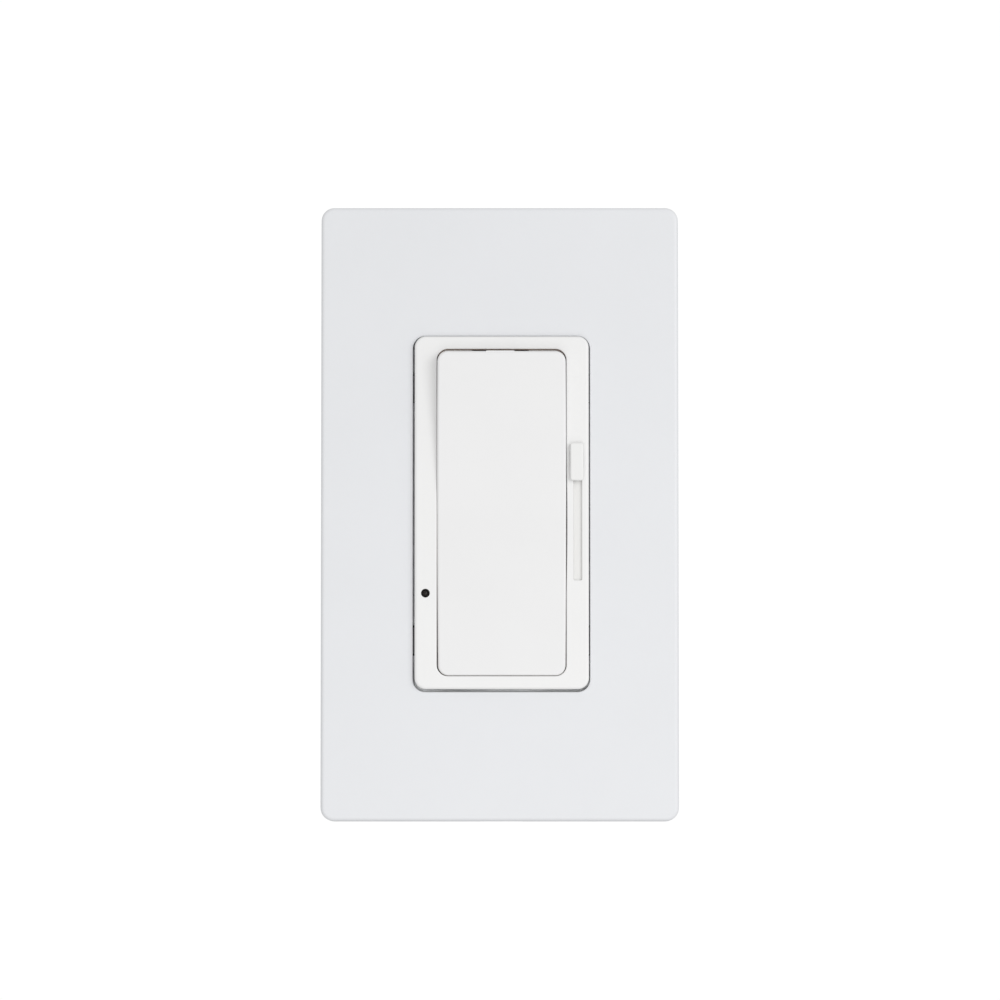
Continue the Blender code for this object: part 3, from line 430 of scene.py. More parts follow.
def circuit_board_finish():
    """Green solder mask with raised copper traces under it, and bare glass fibre at the cut edges."""
    finish = Finish("board_mask", (0.02, 0.13, 0.05), 0.32)
    traces = finish.node("ShaderNodeTexVoronoi", feature="DISTANCE_TO_EDGE")
    traces.inputs["Scale"].default_value = 1.0 / 4.5
    traces.inputs["Randomness"].default_value = 0.35
    finish.link(finish.place((1.0, 0.05, 1.0)), traces.inputs["Vector"])
    paint = finish.ramp(traces.outputs["Distance"], (
        (0.0, (0.012, 0.085, 0.035)), (0.12, (0.012, 0.085, 0.035)), (0.16, (0.03, 0.20, 0.08))))
    facing = finish.node("ShaderNodeNewGeometry")
    parts = finish.node("ShaderNodeSeparateXYZ")
    finish.link(facing.outputs["Normal"], parts.inputs["Vector"])
    face = finish.math("GREATER_THAN", finish.math("ABSOLUTE", parts.outputs["Y"], 0.0), 0.5)
    mix = finish.node("ShaderNodeMix", data_type="RGBA")
    mix.inputs["A"].default_value = (0.55, 0.50, 0.30, 1.0)
    finish.link(face, mix.inputs["Factor"])
    finish.link(paint, mix.inputs["B"])
    finish.feed(mix.outputs["Result"], "Base Color")
    return finish.polish(2.0, 0.06).grain(0.35, 0.008)


def carbon_track_finish():
    """Brown phenolic with two black carbon tracks along Z."""
    board, carbon = (0.16, 0.09, 0.05), (0.015, 0.015, 0.016)
    finish = Finish("phenolic_board", board, 0.45)
    across = finish.rescale(finish.coordinates()["X"], RAIL_X - 3.0, RAIL_X + 3.0)
    stops = ((0.0, board), (0.2, carbon), (0.42, board), (0.58, carbon), (0.8, board))
    finish.feed(finish.ramp(across, stops, "CONSTANT"), "Base Color")
    return finish.polish(1.5, 0.06).grain(0.5, 0.006)


def clear_plastic(name, colour, roughness, transmission, shine=0.5):
    """Tinted see-through plastic."""
    finish = Finish(name, colour, roughness)
    finish.set("Transmission Weight", transmission)
    finish.set("Specular IOR Level", shine)
    finish.set("IOR", 1.5)
    return finish.mottle(1.5, 0.08).polish(0.8, 0.03)


def make_finishes():
    """One finish for each material slot of the record."""
    along_x = (0.12, 1.0, 1.0)
    tan = (0.62, 0.48, 0.30)
    glass = (0.10, 0.20, 0.45)
    return {
        "wall_plate": moulded("plate_moulding", (0.80, 0.81, 0.83), 0.42),
        "adapter_plate": moulded("adapter_moulding", (0.86, 0.86, 0.85), 0.45, 0.003),
        "painted_screw": moulded("screw_paint", (0.86, 0.86, 0.85), 0.35, 0.004),
        # The bezel's opening walls carry painted warm light, stronger deeper in the gap
        "bezel": moulded("bezel_moulding", (0.874, 0.872, 0.868), 0.40).paint_gap_light(
            OPENING_HALF[0] + GAP_LIGHT_MARGIN, OPENING_HALF[1] + GAP_LIGHT_MARGIN, *GAP_LIGHT_Y, (1.0, 0.80, 0.68)),
        "paddle": moulded("paddle_moulding", (0.851, 0.850, 0.850), 0.36),
        "knob": moulded("knob_moulding", (0.860, 0.860, 0.852), 0.38),
        "shutter": moulded("shutter_moulding", (0.84, 0.836, 0.822), 0.5),
        "nylon": moulded("plunger_nylon", (0.75, 0.73, 0.66), 0.4, 0.004),
        "black_plastic": thermoset("black_moulding", (0.02, 0.02, 0.022), 0.4, 0.005),
        "retainer": thermoset("retainer_fibre", (0.04, 0.04, 0.04), 0.7),
        "housing": thermoset("housing_thermoset", (0.022, 0.022, 0.024), 0.46),
        "switch_base": thermoset("switch_phenolic", (0.05, 0.05, 0.055), 0.5, 0.008),
        "phenolic": carbon_track_finish(),
        "board": circuit_board_finish(),
        "thermal_pad": thermoset("silicone_pad", (0.55, 0.57, 0.60), 0.7, 0.006),
        "film_capacitor": moulded("capacitor_box", (0.80, 0.62, 0.12), 0.32, 0.006, 0.05),
        "timing_capacitor": moulded("capacitor_dip", (0.10, 0.28, 0.12), 0.25, 0.02, 0.08),
        "resistor": banded("resistor_lacquer", tan, 0.45, (
            (-3.0, tan), (-2.5, (0.25, 0.10, 0.03)), (-2.1, tan), (-1.2, (0.02, 0.02, 0.02)), (-0.8, tan),
            (0.1, (0.75, 0.30, 0.02)), (0.5, tan), (1.9, (0.60, 0.42, 0.10)), (2.4, tan))),
        "diac": banded("diac_glass", glass, 0.15, ((-2.0, glass), (0.9, (0.02, 0.02, 0.03)), (1.4, glass))),
        "trim_pot": moulded("trimmer_blue", (0.05, 0.16, 0.50), 0.4, 0.005),
        "trim_rotor": moulded("trimmer_rotor", (0.80, 0.80, 0.78), 0.4, 0.004),
        "led": clear_plastic("lamp_amber", (0.75, 0.32, 0.05), 0.15, 0.6),
        "smoked_lens": clear_plastic("smoked_pipe", (0.012, 0.008, 0.007), 0.35, 0.1, 0.3),
        "choke_core": moulded("core_coating", (0.75, 0.60, 0.08), 0.5, 0.03, 0.06),
        "yoke": metal("yoke_aluminium", (0.72, 0.73, 0.74), 0.36, along_x),
        "steel": metal("zinc_plate", (0.62, 0.62, 0.60), 0.30, mark=0.12),
        "spring_steel": metal("spring_wire", (0.60, 0.60, 0.60), 0.22),
        "tin": metal("tin_plate", (0.75, 0.75, 0.73), 0.33, mark=0.10),
        "brass": metal("contact_brass", (0.72, 0.56, 0.27), 0.28, along_x),
        "copper": metal("bare_copper", (0.80, 0.42, 0.24), 0.28, mark=0.15),
        "black_wire": insulation("black_insulation", (0.02, 0.02, 0.02)),
        "red_wire": insulation("red_insulation", (0.50, 0.02, 0.02)),
        "yellow_wire": insulation("yellow_insulation", (0.80, 0.55, 0.04)),
        "green_wire": insulation("green_insulation", (0.02, 0.22, 0.06)),
    }


# Outlines and solids


def rounded_rectangle(half_a, half_b, radius, centre=(0.0, 0.0), steps=10):
    points = []
    for corner, (sign_a, sign_b) in enumerate(((1, 1), (-1, 1), (-1, -1), (1, -1))):
        middle_a = centre[0] + sign_a * (half_a - radius)
        middle_b = centre[1] + sign_b * (half_b - radius)
        for step in range(steps + 1):
            angle = math.pi / 2 * (corner + step / steps)
            points.append((middle_a + radius * math.cos(angle), middle_b + radius * math.sin(angle)))
    return points


def ring(y, half, radius, centre, grow=0.0, steps=10):
    """A rounded rectangle at y, grown evenly, or shrunk if grow is negative."""
    points = rounded_rectangle(half[0] + grow, half[1] + grow, radius + grow, centre, steps)
    return [(x, y, z) for x, z in points]


def rectangle(low_a, high_a, low_b, high_b):
    return [(high_a, high_b), (low_a, high_b), (low_a, low_b), (high_a, low_b)]


def block(half_a, half_b, centre=(0.0, 0.0)):
    a, b = centre
    return rectangle(a - half_a, a + half_a, b - half_b, b + half_b)


def circle(radius, centre=(0.0, 0.0), sides=40):
    turns = [2 * math.pi * side / sides for side in range(sides)]
    return [(centre[0] + radius * math.cos(a), centre[1] + radius * math.sin(a)) for a in turns]


def slot_outline(half_length, radius, centre):
    return rounded_rectangle(half_length, radius, radius * 0.999, centre, 12)


def quarter(radius, steps=7):
    """(inset, rise) along a quarter round, from the side it starts on to the face it ends on."""
    turns = [math.pi / 2 * step / steps for step in range(steps + 1)]
    return [(radius * (1 - math.cos(a)), radius * math.sin(a)) for a in turns]


def over_front(outer, inner, front, edge, lip, hold, lip_steps, draft=0.0):
    """Rings over a frame's front: round its outer edge, across its face and down its opening's lip."""
    rings = [outer(draft + inset, front + edge - rise) for inset, rise in quarter(edge)]
    rings += [outer(draft + edge + hold, front), inner(lip + hold, front)]
    rings += [inner(inset, front + lip - rise) for inset, rise in reversed(quarter(lip, lip_steps))]
    return rings


def rounded_end(half, radius, centre, face, edge, hold, sign=1):
    """Sections that round a block off at its face, which looks towards -sign along the axis."""
    sections = []
    for inset, rise in (*quarter(edge), (edge + hold, edge)):
        outline = rounded_rectangle(half[0] - inset, half[1] - inset, radius - inset, centre)
        sections.append((face + sign * (edge - rise), outline))
    return sections


def point_on(axis, along, across):
    a, b = across
    return {"X": (along, a, b), "Y": (a, along, b), "Z": (a, b, along)}[axis]


def skin(rings, capped=True):
    """Faces through rings of points. A mesh that isn't capped closes on its first ring."""
    shape = bmesh.new()
    loops = [[shape.verts.new(point) for point in points] for points in rings]
    pairs = list(zip(loops, loops[1:]))
    if capped:
        shape.faces.new(loops[0])
        shape.faces.new(loops[-1])
    else:
        pairs.append((loops[-1], loops[0]))
    for first, second in pairs:
        for i in range(len(first)):
            j = (i + 1) % len(first)
            shape.faces.new((first[i], first[j], second[j], second[i]))
    bmesh.ops.recalc_face_normals(shape, faces=shape.faces)
    return shape


def smooth(mesh):
    mesh.shade_smooth()
    mesh.set_sharp_from_angle(angle=math.radians(SHARP_ANGLE))


def to_object(name, shape, tilt=None):
    """Put a bmesh in the scene. tilt leans it about the paddle's pivot."""
    if tilt is not None:
        lean = Matrix.Translation((0, PIVOT_Y, 0)) @ Matrix.Rotation(math.radians(tilt), 4, "X")
        shape.transform(lean)
    shape.transform(Matrix.Translation(CENTRE) @ Matrix.Scale(MM, 4))
    mesh = bpy.data.meshes.new(name)
    shape.to_mesh(mesh)
    shape.free()
    smooth(mesh)
    made = bpy.data.objects.new(name, mesh)
    bpy.context.scene.collection.objects.link(made)
    return made


def loft(name, sections, axis="Y", tilt=None):
    """A solid through (place along the axis, outline) sections."""
    rings = [[point_on(axis, along, point) for point in outline] for along, outline in sections]
    return to_object(name, skin(rings), tilt)


def prism(name, outline, low, high, axis="Y", tilt=None):
    return loft(name, [(low, outline), (high, outline)], axis, tilt)


def turned(name, profile, centre):
    """A solid of revolution along Y from (y, radius) pairs."""
    return loft(name, [(y, circle(radius, centre)) for y, radius in profile])


def tube(name, path, radius, sides=24, tilt=None):
    """A round wire along a path, its frame carried along without twisting, with softened ends."""
    points = [Vector(p) for p in path]
    ways = [(b - a).normalized() for a, b in zip(points, points[1:])]
    ways = [ways[0], *[(a + b).normalized() for a, b in zip(ways, ways[1:])], ways[-1]]
    side = ways[0].orthogonal().normalized()
    soften = radius * 0.12
    rings = []
    last = len(points) - 1
    for number, (point, way) in enumerate(zip(points, ways)):
        side = (side - way * side.dot(way)).normalized()
        other = way.cross(side)
        stations = [(0.0, radius)]
        if number == 0:
            stations = [(0.0, radius - soften), (soften, radius)]
        if number == last:
            stations = [(-soften, radius), (0.0, radius - soften)]
        for shift, size in stations:
            centre = point + way * shift
            turns = [2 * math.pi * k / sides for k in range(sides)]
            rings.append([centre + (side * math.cos(a) + other * math.sin(a)) * size for a in turns])
    return to_object(name, skin(rings), tilt)


def boolean(target, operation, tools):
    for tool in tools:
        tool.hide_render = True
        modifier = target.modifiers.new(tool.name, "BOOLEAN")
        modifier.operation = operation
        modifier.object = tool
        modifier.solver = "EXACT"


def cut(target, *tools):
    boolean(target, "DIFFERENCE", tools)


def join(target, *tools):
    boolean(target, "UNION", tools)


def bake(target):
    """Turn the Booleans so far into plain mesh, and remove their tools."""
    tools = [modifier.object for modifier in target.modifiers]
    evaluated = target.evaluated_get(bpy.context.evaluated_depsgraph_get())
    mesh = bpy.data.meshes.new_from_object(evaluated)
    target.modifiers.clear()
    target.data = mesh
    for tool in tools:
        bpy.data.objects.remove(tool)
    smooth(mesh)
    return target


def round_edges(target, width, angle=40):
    """Round the hard edges by width in millimetres."""
    bevel = target.modifiers.new("edges", "BEVEL")
    bevel.width = width * MM
    bevel.segments = 2
    bevel.limit_method = "ANGLE"
    bevel.angle_limit = math.radians(angle)
    return bevel


def shade_flats(target):
    """Keep the flats flat in shading."""
    weigh = target.modifiers.new("flats", "WEIGHTED_NORMAL")
    weigh.keep_sharp = True


def soften(target, width, angle=40):
    round_edges(target, width, angle).miter_outer = "MITER_ARC"
    shade_flats(target)
    return target


finishes = make_finishes()


def paint(item, node):
    """Give an object the finish of a node."""
    item.data.materials.clear()
    item.data.materials.append(finishes[SLOT_OF[node]].material)


def stand_in(made, node):
    """Show a rebuilt piece in place of its CAD node."""
    made.name = f"{node}_look"
    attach(made, BODY_OF[node])
    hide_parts(node)
    paint(made, node)
    return made


# Wall plate and adapter


def build_wall_plate():
    """The cover: one closed skin from the back rim over the front to the window and back inside."""

    def outer(inset, y):
        return ring(y, PLATE_HALF, PLATE_RADIUS, PLATE_FLOAT, -inset)

    def window(grow, y):
        return ring(y, WINDOW_HALF, WINDOW_RADIUS, WINDOW_FLOAT, grow)

    def hollow(y):
        return ring(y, [half - PLATE_WALL for half in PLATE_HALF], HOLLOW_RADIUS, PLATE_FLOAT)

    back_edge, hold = 0.15, 0.25
    inside = PLATE_FRONT + PLATE_SKIN
    rings = [outer(back_edge, PLATE_BACK), outer(0.0, PLATE_BACK - back_edge)]
    rings += over_front(outer, window, PLATE_FRONT, PLATE_EDGE, WINDOW_LIP, hold, 5, PLATE_DRAFT)
    rings += [window(0.0, inside), hollow(inside), hollow(PLATE_BACK)]
    plate = to_object("plate", skin(rings, capped=False))
    bottom = PLATE_FLOAT[1] - PLATE_HALF[1]
    notch = rectangle(-PRY_NOTCH_HALF, PRY_NOTCH_HALF, bottom - 1.0, bottom + 0.8)
    cut(plate, prism("pry_notch", notch, -1.5, 0.5))
    for sign in (1, -1):
        for x in (-CATCH_X, CATCH_X):
            z = sign * (PLATE_HALF[1] - PLATE_WALL)
            join(plate, prism("plate_lug", block(CATCH_HALF, LUG_HALF_Z, (x, z)), *LUG_Y))
    stand_in(bake(plate), "wall_plate")


def build_adapter():
    """The plate under the cover, with a rim, stiffening ribs and catches."""
    front, back = ADAPTER_Y
    plate = prism("adapter", rounded_rectangle(*ADAPTER_HALF, 2.2), front, back)
    inner = rounded_rectangle(ADAPTER_HALF[0] - ADAPTER_RIM, ADAPTER_HALF[1] - ADAPTER_RIM, 1.0)
    window = rounded_rectangle(
        BEZEL_HALF[0] + ADAPTER_WINDOW_GAP, BEZEL_HALF[1] + ADAPTER_WINDOW_GAP, WINDOW_RADIUS)
    cut(plate, prism("adapter_hollow", inner, front + ADAPTER_SKIN, 1.0))
    bake(plate)
    rib_front, rib_back = front + 1.0, back - 0.2
    for x in (-RIB_X, RIB_X):
        rib = block(RIB_HALF, ADAPTER_HALF[1] - 1.0, (x, 0.0))
        join(plate, prism("adapter_rib", rib, rib_front, rib_back))
    for step in range(-3, 4):
        z = step * RIB_PITCH
        for sign in (-1, 1):
            low, high = sorted((sign * CROSS_RIB_START, sign * (ADAPTER_HALF[0] - 1.0)))
            rib = rectangle(low, high, z - RIB_HALF, z + RIB_HALF)
            join(plate, prism("adapter_cross_rib", rib, rib_front, rib_back))
    cut(plate, prism("adapter_window", window, front - 1.0, 0.0))
    for sign in (-1, 1):
        access = slot_outline(5.4, 4.3, (0.0, sign * BOX_SCREW_Z))
        cut(plate, prism("adapter_access", access, front - 1.0, 0.0))
        countersink = ((front - 0.5, 3.8), (front, 3.35), (-2.6, 2.05), (0.0, 2.05))
        cut(plate, turned("adapter_countersink", countersink, (0.0, sign * PLATE_SCREW_Z)))
        for x in CASE_SCREW_X:
            relief = circle(2.5, (x, sign * CASE_SCREW_Z))
            cut(plate, prism("adapter_relief", relief, front - 1.0, 0.0))
    cut(plate, prism("adapter_rivet_relief", circle(3.1, GROUND_RIVET), front - 1.0, 0.0))
    for sign in (1, -1):
        for x in (-CATCH_X, CATCH_X):
            z = sign * ADAPTER_HALF[1]
            join(plate, prism("adapter_catch", block(CATCH_HALF, CATCH_REACH, (x, z)), *CATCH_Y))
    stand_in(soften(bake(plate), 0.15), "adapter_plate")


# Screws, yoke and ground


def build_screw(node, head, thread, seat, tip, centre, drive, pitch):
    """A machine screw along +Y with a helical thread and a slot, a cross or both."""
    outer, root = thread
    sides = 24
    rings = [[(x, y, z) for x, z in circle(radius, centre, sides)] for y, radius in head]
    steps = 5
    start = seat + 0.05
    rows = int((tip - start) / pitch * steps)
    for row in range(rows + 1):
        y = start + (tip - start) * row / rows
        fade = min(1.0, (tip - y) / (1.5 * pitch), (y - start) / (0.8 * pitch))
        loop = []
        for k in range(sides):
            turn = 2 * math.pi * k / sides
            phase = (y / pitch - k / sides) % 1.0
            crest = 1 - abs(2 * phase - 1)
            height = min(1.0, crest * 1.35)
            radius = root + (outer - root) * height * max(fade, 0.0)
            loop.append((centre[0] + radius * math.cos(turn), y, centre[1] + radius * math.sin(turn)))
        rings.append(loop)
    screw = to_object("screw", skin(rings))
    top, reach = head[0][0], head[-1][1] * 0.66
    half = 0.19 * reach + 0.1
    if "slot" in drive:
        cut(screw, prism("slot", block(reach * 1.6, half, centre), top - 0.5, top + 0.6))
    if "cross" in drive:
        wide = [(top - 0.5, reach), (top, reach * 0.92), (top + 0.9, reach * 0.45)]
        for flip in (False, True):
            sections = []
            for y, length in wide:
                sizes = (half, length) if flip else (length, half)
                sections.append((y, block(*sizes, centre)))
            cut(screw, loft("cross", sections))
    stand_in(bake(screw), node)


def build_retainer(node, centre):
    """The fibre washer that keeps a box screw from falling out."""
    retainer = prism("retainer", rounded_rectangle(4.4, 4.0, 0.8, centre, 5), 0.3, 0.9)
    cut(retainer, prism("retainer_hole", circle(1.9, centre, 24), 0.0, 1.5))
    stand_in(soften(bake(retainer), 0.08), node)


def build_screws():
    """Dome heads hold the yoke to the box, oval heads the adapter, and small pan heads the housing."""
    dome = ((-3.7, 1.6), (-3.66, 2.1), (-3.5, 2.65), (-3.2, 3.1), (-2.8, 3.35), (-2.4, 3.44), (-1.9, 3.45),
            (-1.8, 3.4))
    oval = ((-4.45, 1.4), (-4.42, 2.1), (-4.33, 2.6), (-4.2, 3.0), (-4.1, 3.0), (-2.7, 1.75))
    pan = ((-2.9, 0.9), (-2.84, 1.3), (-2.6, 1.7), (-2.3, 1.9), (-1.8, 1.95))
    for side, sign in (("top", 1), ("bottom", -1)):
        box = (0.0, sign * BOX_SCREW_Z)
        plate = (0.0, sign * PLATE_SCREW_Z)
        build_screw(f"box_screw_{side}", dome, (1.72, 1.36), -1.8, 21.5, box, "slot cross", SCREW_PITCH)
        build_screw(f"adapter_screw_{side}", oval, (1.72, 1.4), -2.7, 5.0, plate, "slot", SCREW_PITCH)
        build_retainer(f"screw_retainer_{side}", box)
        for hand, x in zip(("left", "right"), CASE_SCREW_X):
            case = (x, sign * CASE_SCREW_Z)
            build_screw(f"case_screw_{side}_{hand}", pan, (1.0, 0.78), -1.8, 9.0, case, "cross", CASE_PITCH)


def build_yoke():
    """The stamped aluminium strap with its ears and slots."""
    front, back = YOKE_Y
    body = prism("yoke_plate", rounded_rectangle(*YOKE_HALF, 3.0), front, back)
    neck = rounded_rectangle(NECK_HALF_X, YOKE_END - 2.0, 1.0)
    join(body, prism("yoke_neck", neck, front + 0.001, back - 0.001))
    for sign in (1, -1):
        middle = sign * (EAR_START + YOKE_END) / 2
        ear = rounded_rectangle(EAR_HALF_X, (YOKE_END - EAR_START) / 2, 2.0, (0.0, middle))
        join(body, prism("yoke_ear", ear, front - 0.001, 0.0))
    bake(body)
    holes = [
        rounded_rectangle(3.8, 4.6, 1.2),
        rounded_rectangle(0.9, 12.6, 0.4, (RAIL_X, 0.0)),
        circle(1.5, (-RAIL_X, INDICATOR_Z), 28),
        circle(1.9, TRIAC_SCREW, 28),
        circle(1.85, GROUND_RIVET, 28),
    ]
    for sign in (1, -1):
        for x in (-16.05, 16.05):
            holes.append(rounded_rectangle(0.8, SNAP_HALF + 0.4, 0.3, (x, sign * SNAP_Z), 4))
        holes.append(slot_outline(3.6, 2.1, (0.0, sign * BOX_SCREW_Z)))
        holes.append(circle(2.02, (0.0, sign * PLATE_SCREW_Z), 36))
        for x in CASE_SCREW_X:
            holes.append(circle(1.3, (x, sign * CASE_SCREW_Z), 24))
    cut(body, *[prism("yoke_hole", hole, front - 1.0, 1.0) for hole in holes])
    stand_in(soften(bake(body), 0.12), "yoke")


def build_ground():
    """The ring terminal under its rivet, with a crimped barrel for the green lead."""
    x, z = GROUND_RIVET
    near, far = GROUND_Y
    lug = prism("ground_ring", circle(3.4, GROUND_RIVET), near, far)
    tongue = rectangle(GROUND_BARREL_X, x, z - 1.4, z + 1.4)
    join(lug, prism("ground_tongue", tongue, near + 0.01, far - 0.01))
    join(lug, prism("ground_barrel", circle(1.9, (GROUND_BARREL_X, z)), near + 0.02, 7.0))
    bake(lug)
    cut(lug, prism("ground_bore", circle(1.45, (GROUND_BARREL_X, z)), 1.4, 8.0))
    cut(lug, prism("ground_eye", circle(1.8, GROUND_RIVET), -1.0, 2.0))
    crimp = rectangle(GROUND_BARREL_X - 0.7, GROUND_BARREL_X + 0.7, z + 1.6, z + 2.6)
    cut(lug, prism("ground_crimp", crimp, 2.4, 4.6))
    stand_in(soften(bake(lug), 0.08), "ground_terminal")
    head = ((-2.35, 1.4), (-2.32, 1.9), (-2.2, 2.35), (-2.0, 2.5), (-1.7, 2.5), (-1.7, 1.5))
    tail = ((1.2, 1.5), (1.2, 2.3), (1.45, 2.4), (1.7, 2.1), (1.8, 1.6))
    rivet = (*head, *tail)
    stand_in(turned("rivet", rivet, GROUND_RIVET), "ground_rivet")


# Bezel, paddle and slide control


def flare(front, lip):
    """(y, growth) pairs for a cutter whose mouth at the front opens in a small quarter round."""
    mouth = [(front + lip - rise, inset) for inset, rise in reversed(quarter(lip, 4))]
    return [(front - 1.0, lip), *mouth, (0.0, 0.0)]


def join_snap(bezel, sign, z):
    """A leg at one side of the bezel, with a hook that catches behind the yoke."""
    outside = sign * BEZEL_HALF[0]
    inside = outside - sign * SNAP_THICKNESS
    leg = rectangle(min(outside, inside), max(outside, inside), z - SNAP_HALF, z + SNAP_HALF)
    join(bezel, prism("bezel_leg", leg, BEZEL_Y[1] - 2.0, HOOK_Y[2] + 0.05))
    step, slope, end = HOOK_Y
    root, tip = outside - sign * 0.4, sign * SNAP_TIP
    hook = [(root, step), (tip, step), (tip, slope), (outside, end), (root, end)]
    join(bezel, prism("bezel_hook", hook, z - SNAP_HALF + 0.01, z + SNAP_HALF - 0.01, "Z"))


def thin_wall_outline():
    """The shallow arc by which the thin wall between the opening and the slot bows away from the paddle."""
    steps = 12
    low, high = THIN_WALL_Z
    wall = OPENING_HALF[0] + OPENING_FLOAT[0]
    places = [2 * step / steps - 1 for step in range(steps + 1)]
    arc = [(wall + THIN_WALL_BOW * (1 - t * t), (high + low) / 2 + t * (high - low) / 2) for t in places]
    return [(wall - 0.3, high), (wall - 0.3, low), *arc]


def build_bezel():
    """The front frame, closed round its opening, with slot, light hole, channels and snap legs."""
    front, back = BEZEL_Y

    def outer(inset, y):
        return ring(y, BEZEL_HALF, BEZEL_RADIUS, BEZEL_FLOAT, -inset, 12)

    def opening(grow, y):
        return ring(y, OPENING_HALF, OPENING_RADIUS, OPENING_FLOAT, grow, 12)

    face = over_front(outer, opening, front, BEZEL_EDGE, OPENING_LIP, 0.12, 4)
    rings = [outer(0.0, back), *face, opening(0.0, back)]
    bezel = to_object("bezel_frame", skin(rings, capped=False))
    for sign in (-1, 1):
        for z in (-SNAP_Z, SNAP_Z):
            join_snap(bezel, sign, z)
        channel = rounded_rectangle(*CHANNEL_HALF, 0.5, (sign * RAIL_X, 0.0), 4)
        thickness = SLOT_SIDE_SKIN if sign > 0 else LIGHT_SIDE_SKIN
        cut(bezel, prism("bezel_channel", channel, front + thickness, 0.0))
    cut(bezel, prism("bezel_bow", thin_wall_outline(), front - 1.0, back + 0.5))
    cut(bezel, prism("bezel_bearing", circle(BEARING_RADIUS, (PIVOT_Y, 0.0), 32), -13.4, 13.4, "X"))
    slot = []
    light_hole = []
    for y, grow in flare(front, SLOT_LIP):
        half_x, half_z = (half + grow for half in SLOT_HALF)
        slot.append((y, rounded_rectangle(half_x, half_z, SLOT_RADIUS + grow, (SLOT_X, 0.0))))
        light_hole.append((y, INDICATOR_RADIUS + grow))
    cut(bezel, loft("bezel_slot", slot))
    cut(bezel, turned("bezel_light_hole", light_hole, (-RAIL_X, INDICATOR_Z)))
    shade_flats(bake(bezel))
    stand_in(bezel, "bezel")


def folded_shape(half_x, half_z, radius, face, back, edge, flange=0.0):
    """A block with bowed sides, whose front is two flats that meet in a soft valley along X."""
    side = rounded_rectangle(half_x, half_z, radius, PADDLE_SHIFT)
    sections = [(back, side)]
    if flange:
        wider = [(x, z + flange if z > 0 else z) for x, z in side]
        sections = [(back, wider), (FLANGE_Y, wider), (FLANGE_Y, side)]
    hold = edge + 0.15
    for inset, rise in [*quarter(edge, 6), (hold, edge)]:
        outline = rounded_rectangle(half_x - inset, half_z - inset, max(radius - inset, 0.04), PADDLE_SHIFT)
        sections.append((face + edge - rise, outline))
    rings = [[(x, y, z) for x, z in outline] for y, outline in sections]
    shape = skin(rings)
    for level in sorted((0.0, *CUTS_ACROSS, *(-level for level in CUTS_ACROSS))):
        everything = shape.verts[:] + shape.edges[:] + shape.faces[:]
        bmesh.ops.bisect_plane(shape, geom=everything, plane_co=(0, 0, level), plane_no=(0, 0, 1))
    slope = math.tan(math.radians(FOLD))
    for vert in shape.verts:
        reach = vert.co.z / PADDLE_HALF[1]
        fall = PADDLE_BOW if reach > 0 else PADDLE_LOWER_BOW
        vert.co.x *= 1.0 + (PADDLE_BOW - fall * reach ** 2) / PADDLE_HALF[0]
        vert.co.x -= PADDLE_SKEW * reach
        if vert.co.y < face + edge + 0.01:
            vert.co.y -= slope * (math.hypot(vert.co.z, FOLD_SOFTNESS) - FOLD_SOFTNESS)
    return shape


def build_paddle():
    """The rocker, with its hollow back, ribs, trunnions and the boss for the plunger."""
    half_x, half_z = PADDLE_HALF
    outside = folded_shape(half_x, half_z, PADDLE_RADIUS, PADDLE_FACE, 1.0, PADDLE_EDGE, FLANGE)
    rocker = to_object("rocker", outside, ROCK)
    inside = folded_shape(
        half_x - PADDLE_SKIRT, half_z - PADDLE_SKIRT, 0.8, PADDLE_FACE + PADDLE_SKIN, 3.0, 0.2)
    cut(rocker, to_object("paddle_hollow", inside, ROCK))
    bake(rocker)
    spine = folded_shape(0.6, half_z - 0.5, 0.3, PADDLE_FACE + 0.8, -0.4, 0.1)
    join(rocker, to_object("paddle_spine", spine, ROCK))
    join(rocker, prism("paddle_rib", block(half_x - 0.5, 0.6), PADDLE_FACE + 0.9, 0.8, tilt=ROCK))
    inner, outer = TRUNNION_X
    for start, end in ((-outer, -inner), (inner, outer)):
        join(rocker, prism("paddle_trunnion", circle(TRUNNION_RADIUS, sides=32), start, end, "X", ROCK))
    join(rocker, prism("paddle_boss", circle(BOSS_RADIUS), PADDLE_FACE + 0.85, BOSS_END, tilt=ROCK))
    tab_z = half_z + PADDLE_SHIFT[1]
    left, right = TAB_X
    tab = rectangle(left, right, tab_z - 0.6, tab_z + TAB_REACH)
    join(rocker, prism("paddle_tab", tab, PADDLE_FACE - 1.35, 0.6, tilt=ROCK))
    for low_x, high_x in ((left - TAB_RELIEF, left), (right, right + TAB_RELIEF)):
        relief = rectangle(low_x, high_x, tab_z + TAB_RELIEF_START, tab_z + 1.0)
        cut(rocker, prism("tab_relief", relief, FLANGE_Y - 1.0, 2.0, tilt=ROCK))
    cut(rocker, prism("paddle_bore", circle(BOSS_BORE), BOSS_FLOOR, BOSS_END + 1.0, tilt=ROCK))
    stand_in(bake(rocker), "rocker_paddle")


def build_spring():
    """The plunger's spring, with a closed coil at each end."""
    low, high = SPRING_Y
    per_coil = 24
    closed_rise = 2.1 * SPRING_WIRE
    open_rise = (high - low - 2 * closed_rise) / (SPRING_COILS - 2)
    path = []
    for i in range(SPRING_COILS * per_coil + 1):
        turn = i / per_coil
        closed = min(turn, 1.0) + max(turn - (SPRING_COILS - 1), 0.0)
        along = low + closed_rise * closed + open_rise * (turn - closed)
        angle = 2 * math.pi * turn
        path.append((SPRING_RADIUS * math.cos(angle), along, SPRING_RADIUS * math.sin(angle)))
    spring = stand_in(tube("spring", path, SPRING_WIRE, 10, ROCK), "plunger_spring")
    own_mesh(spring)


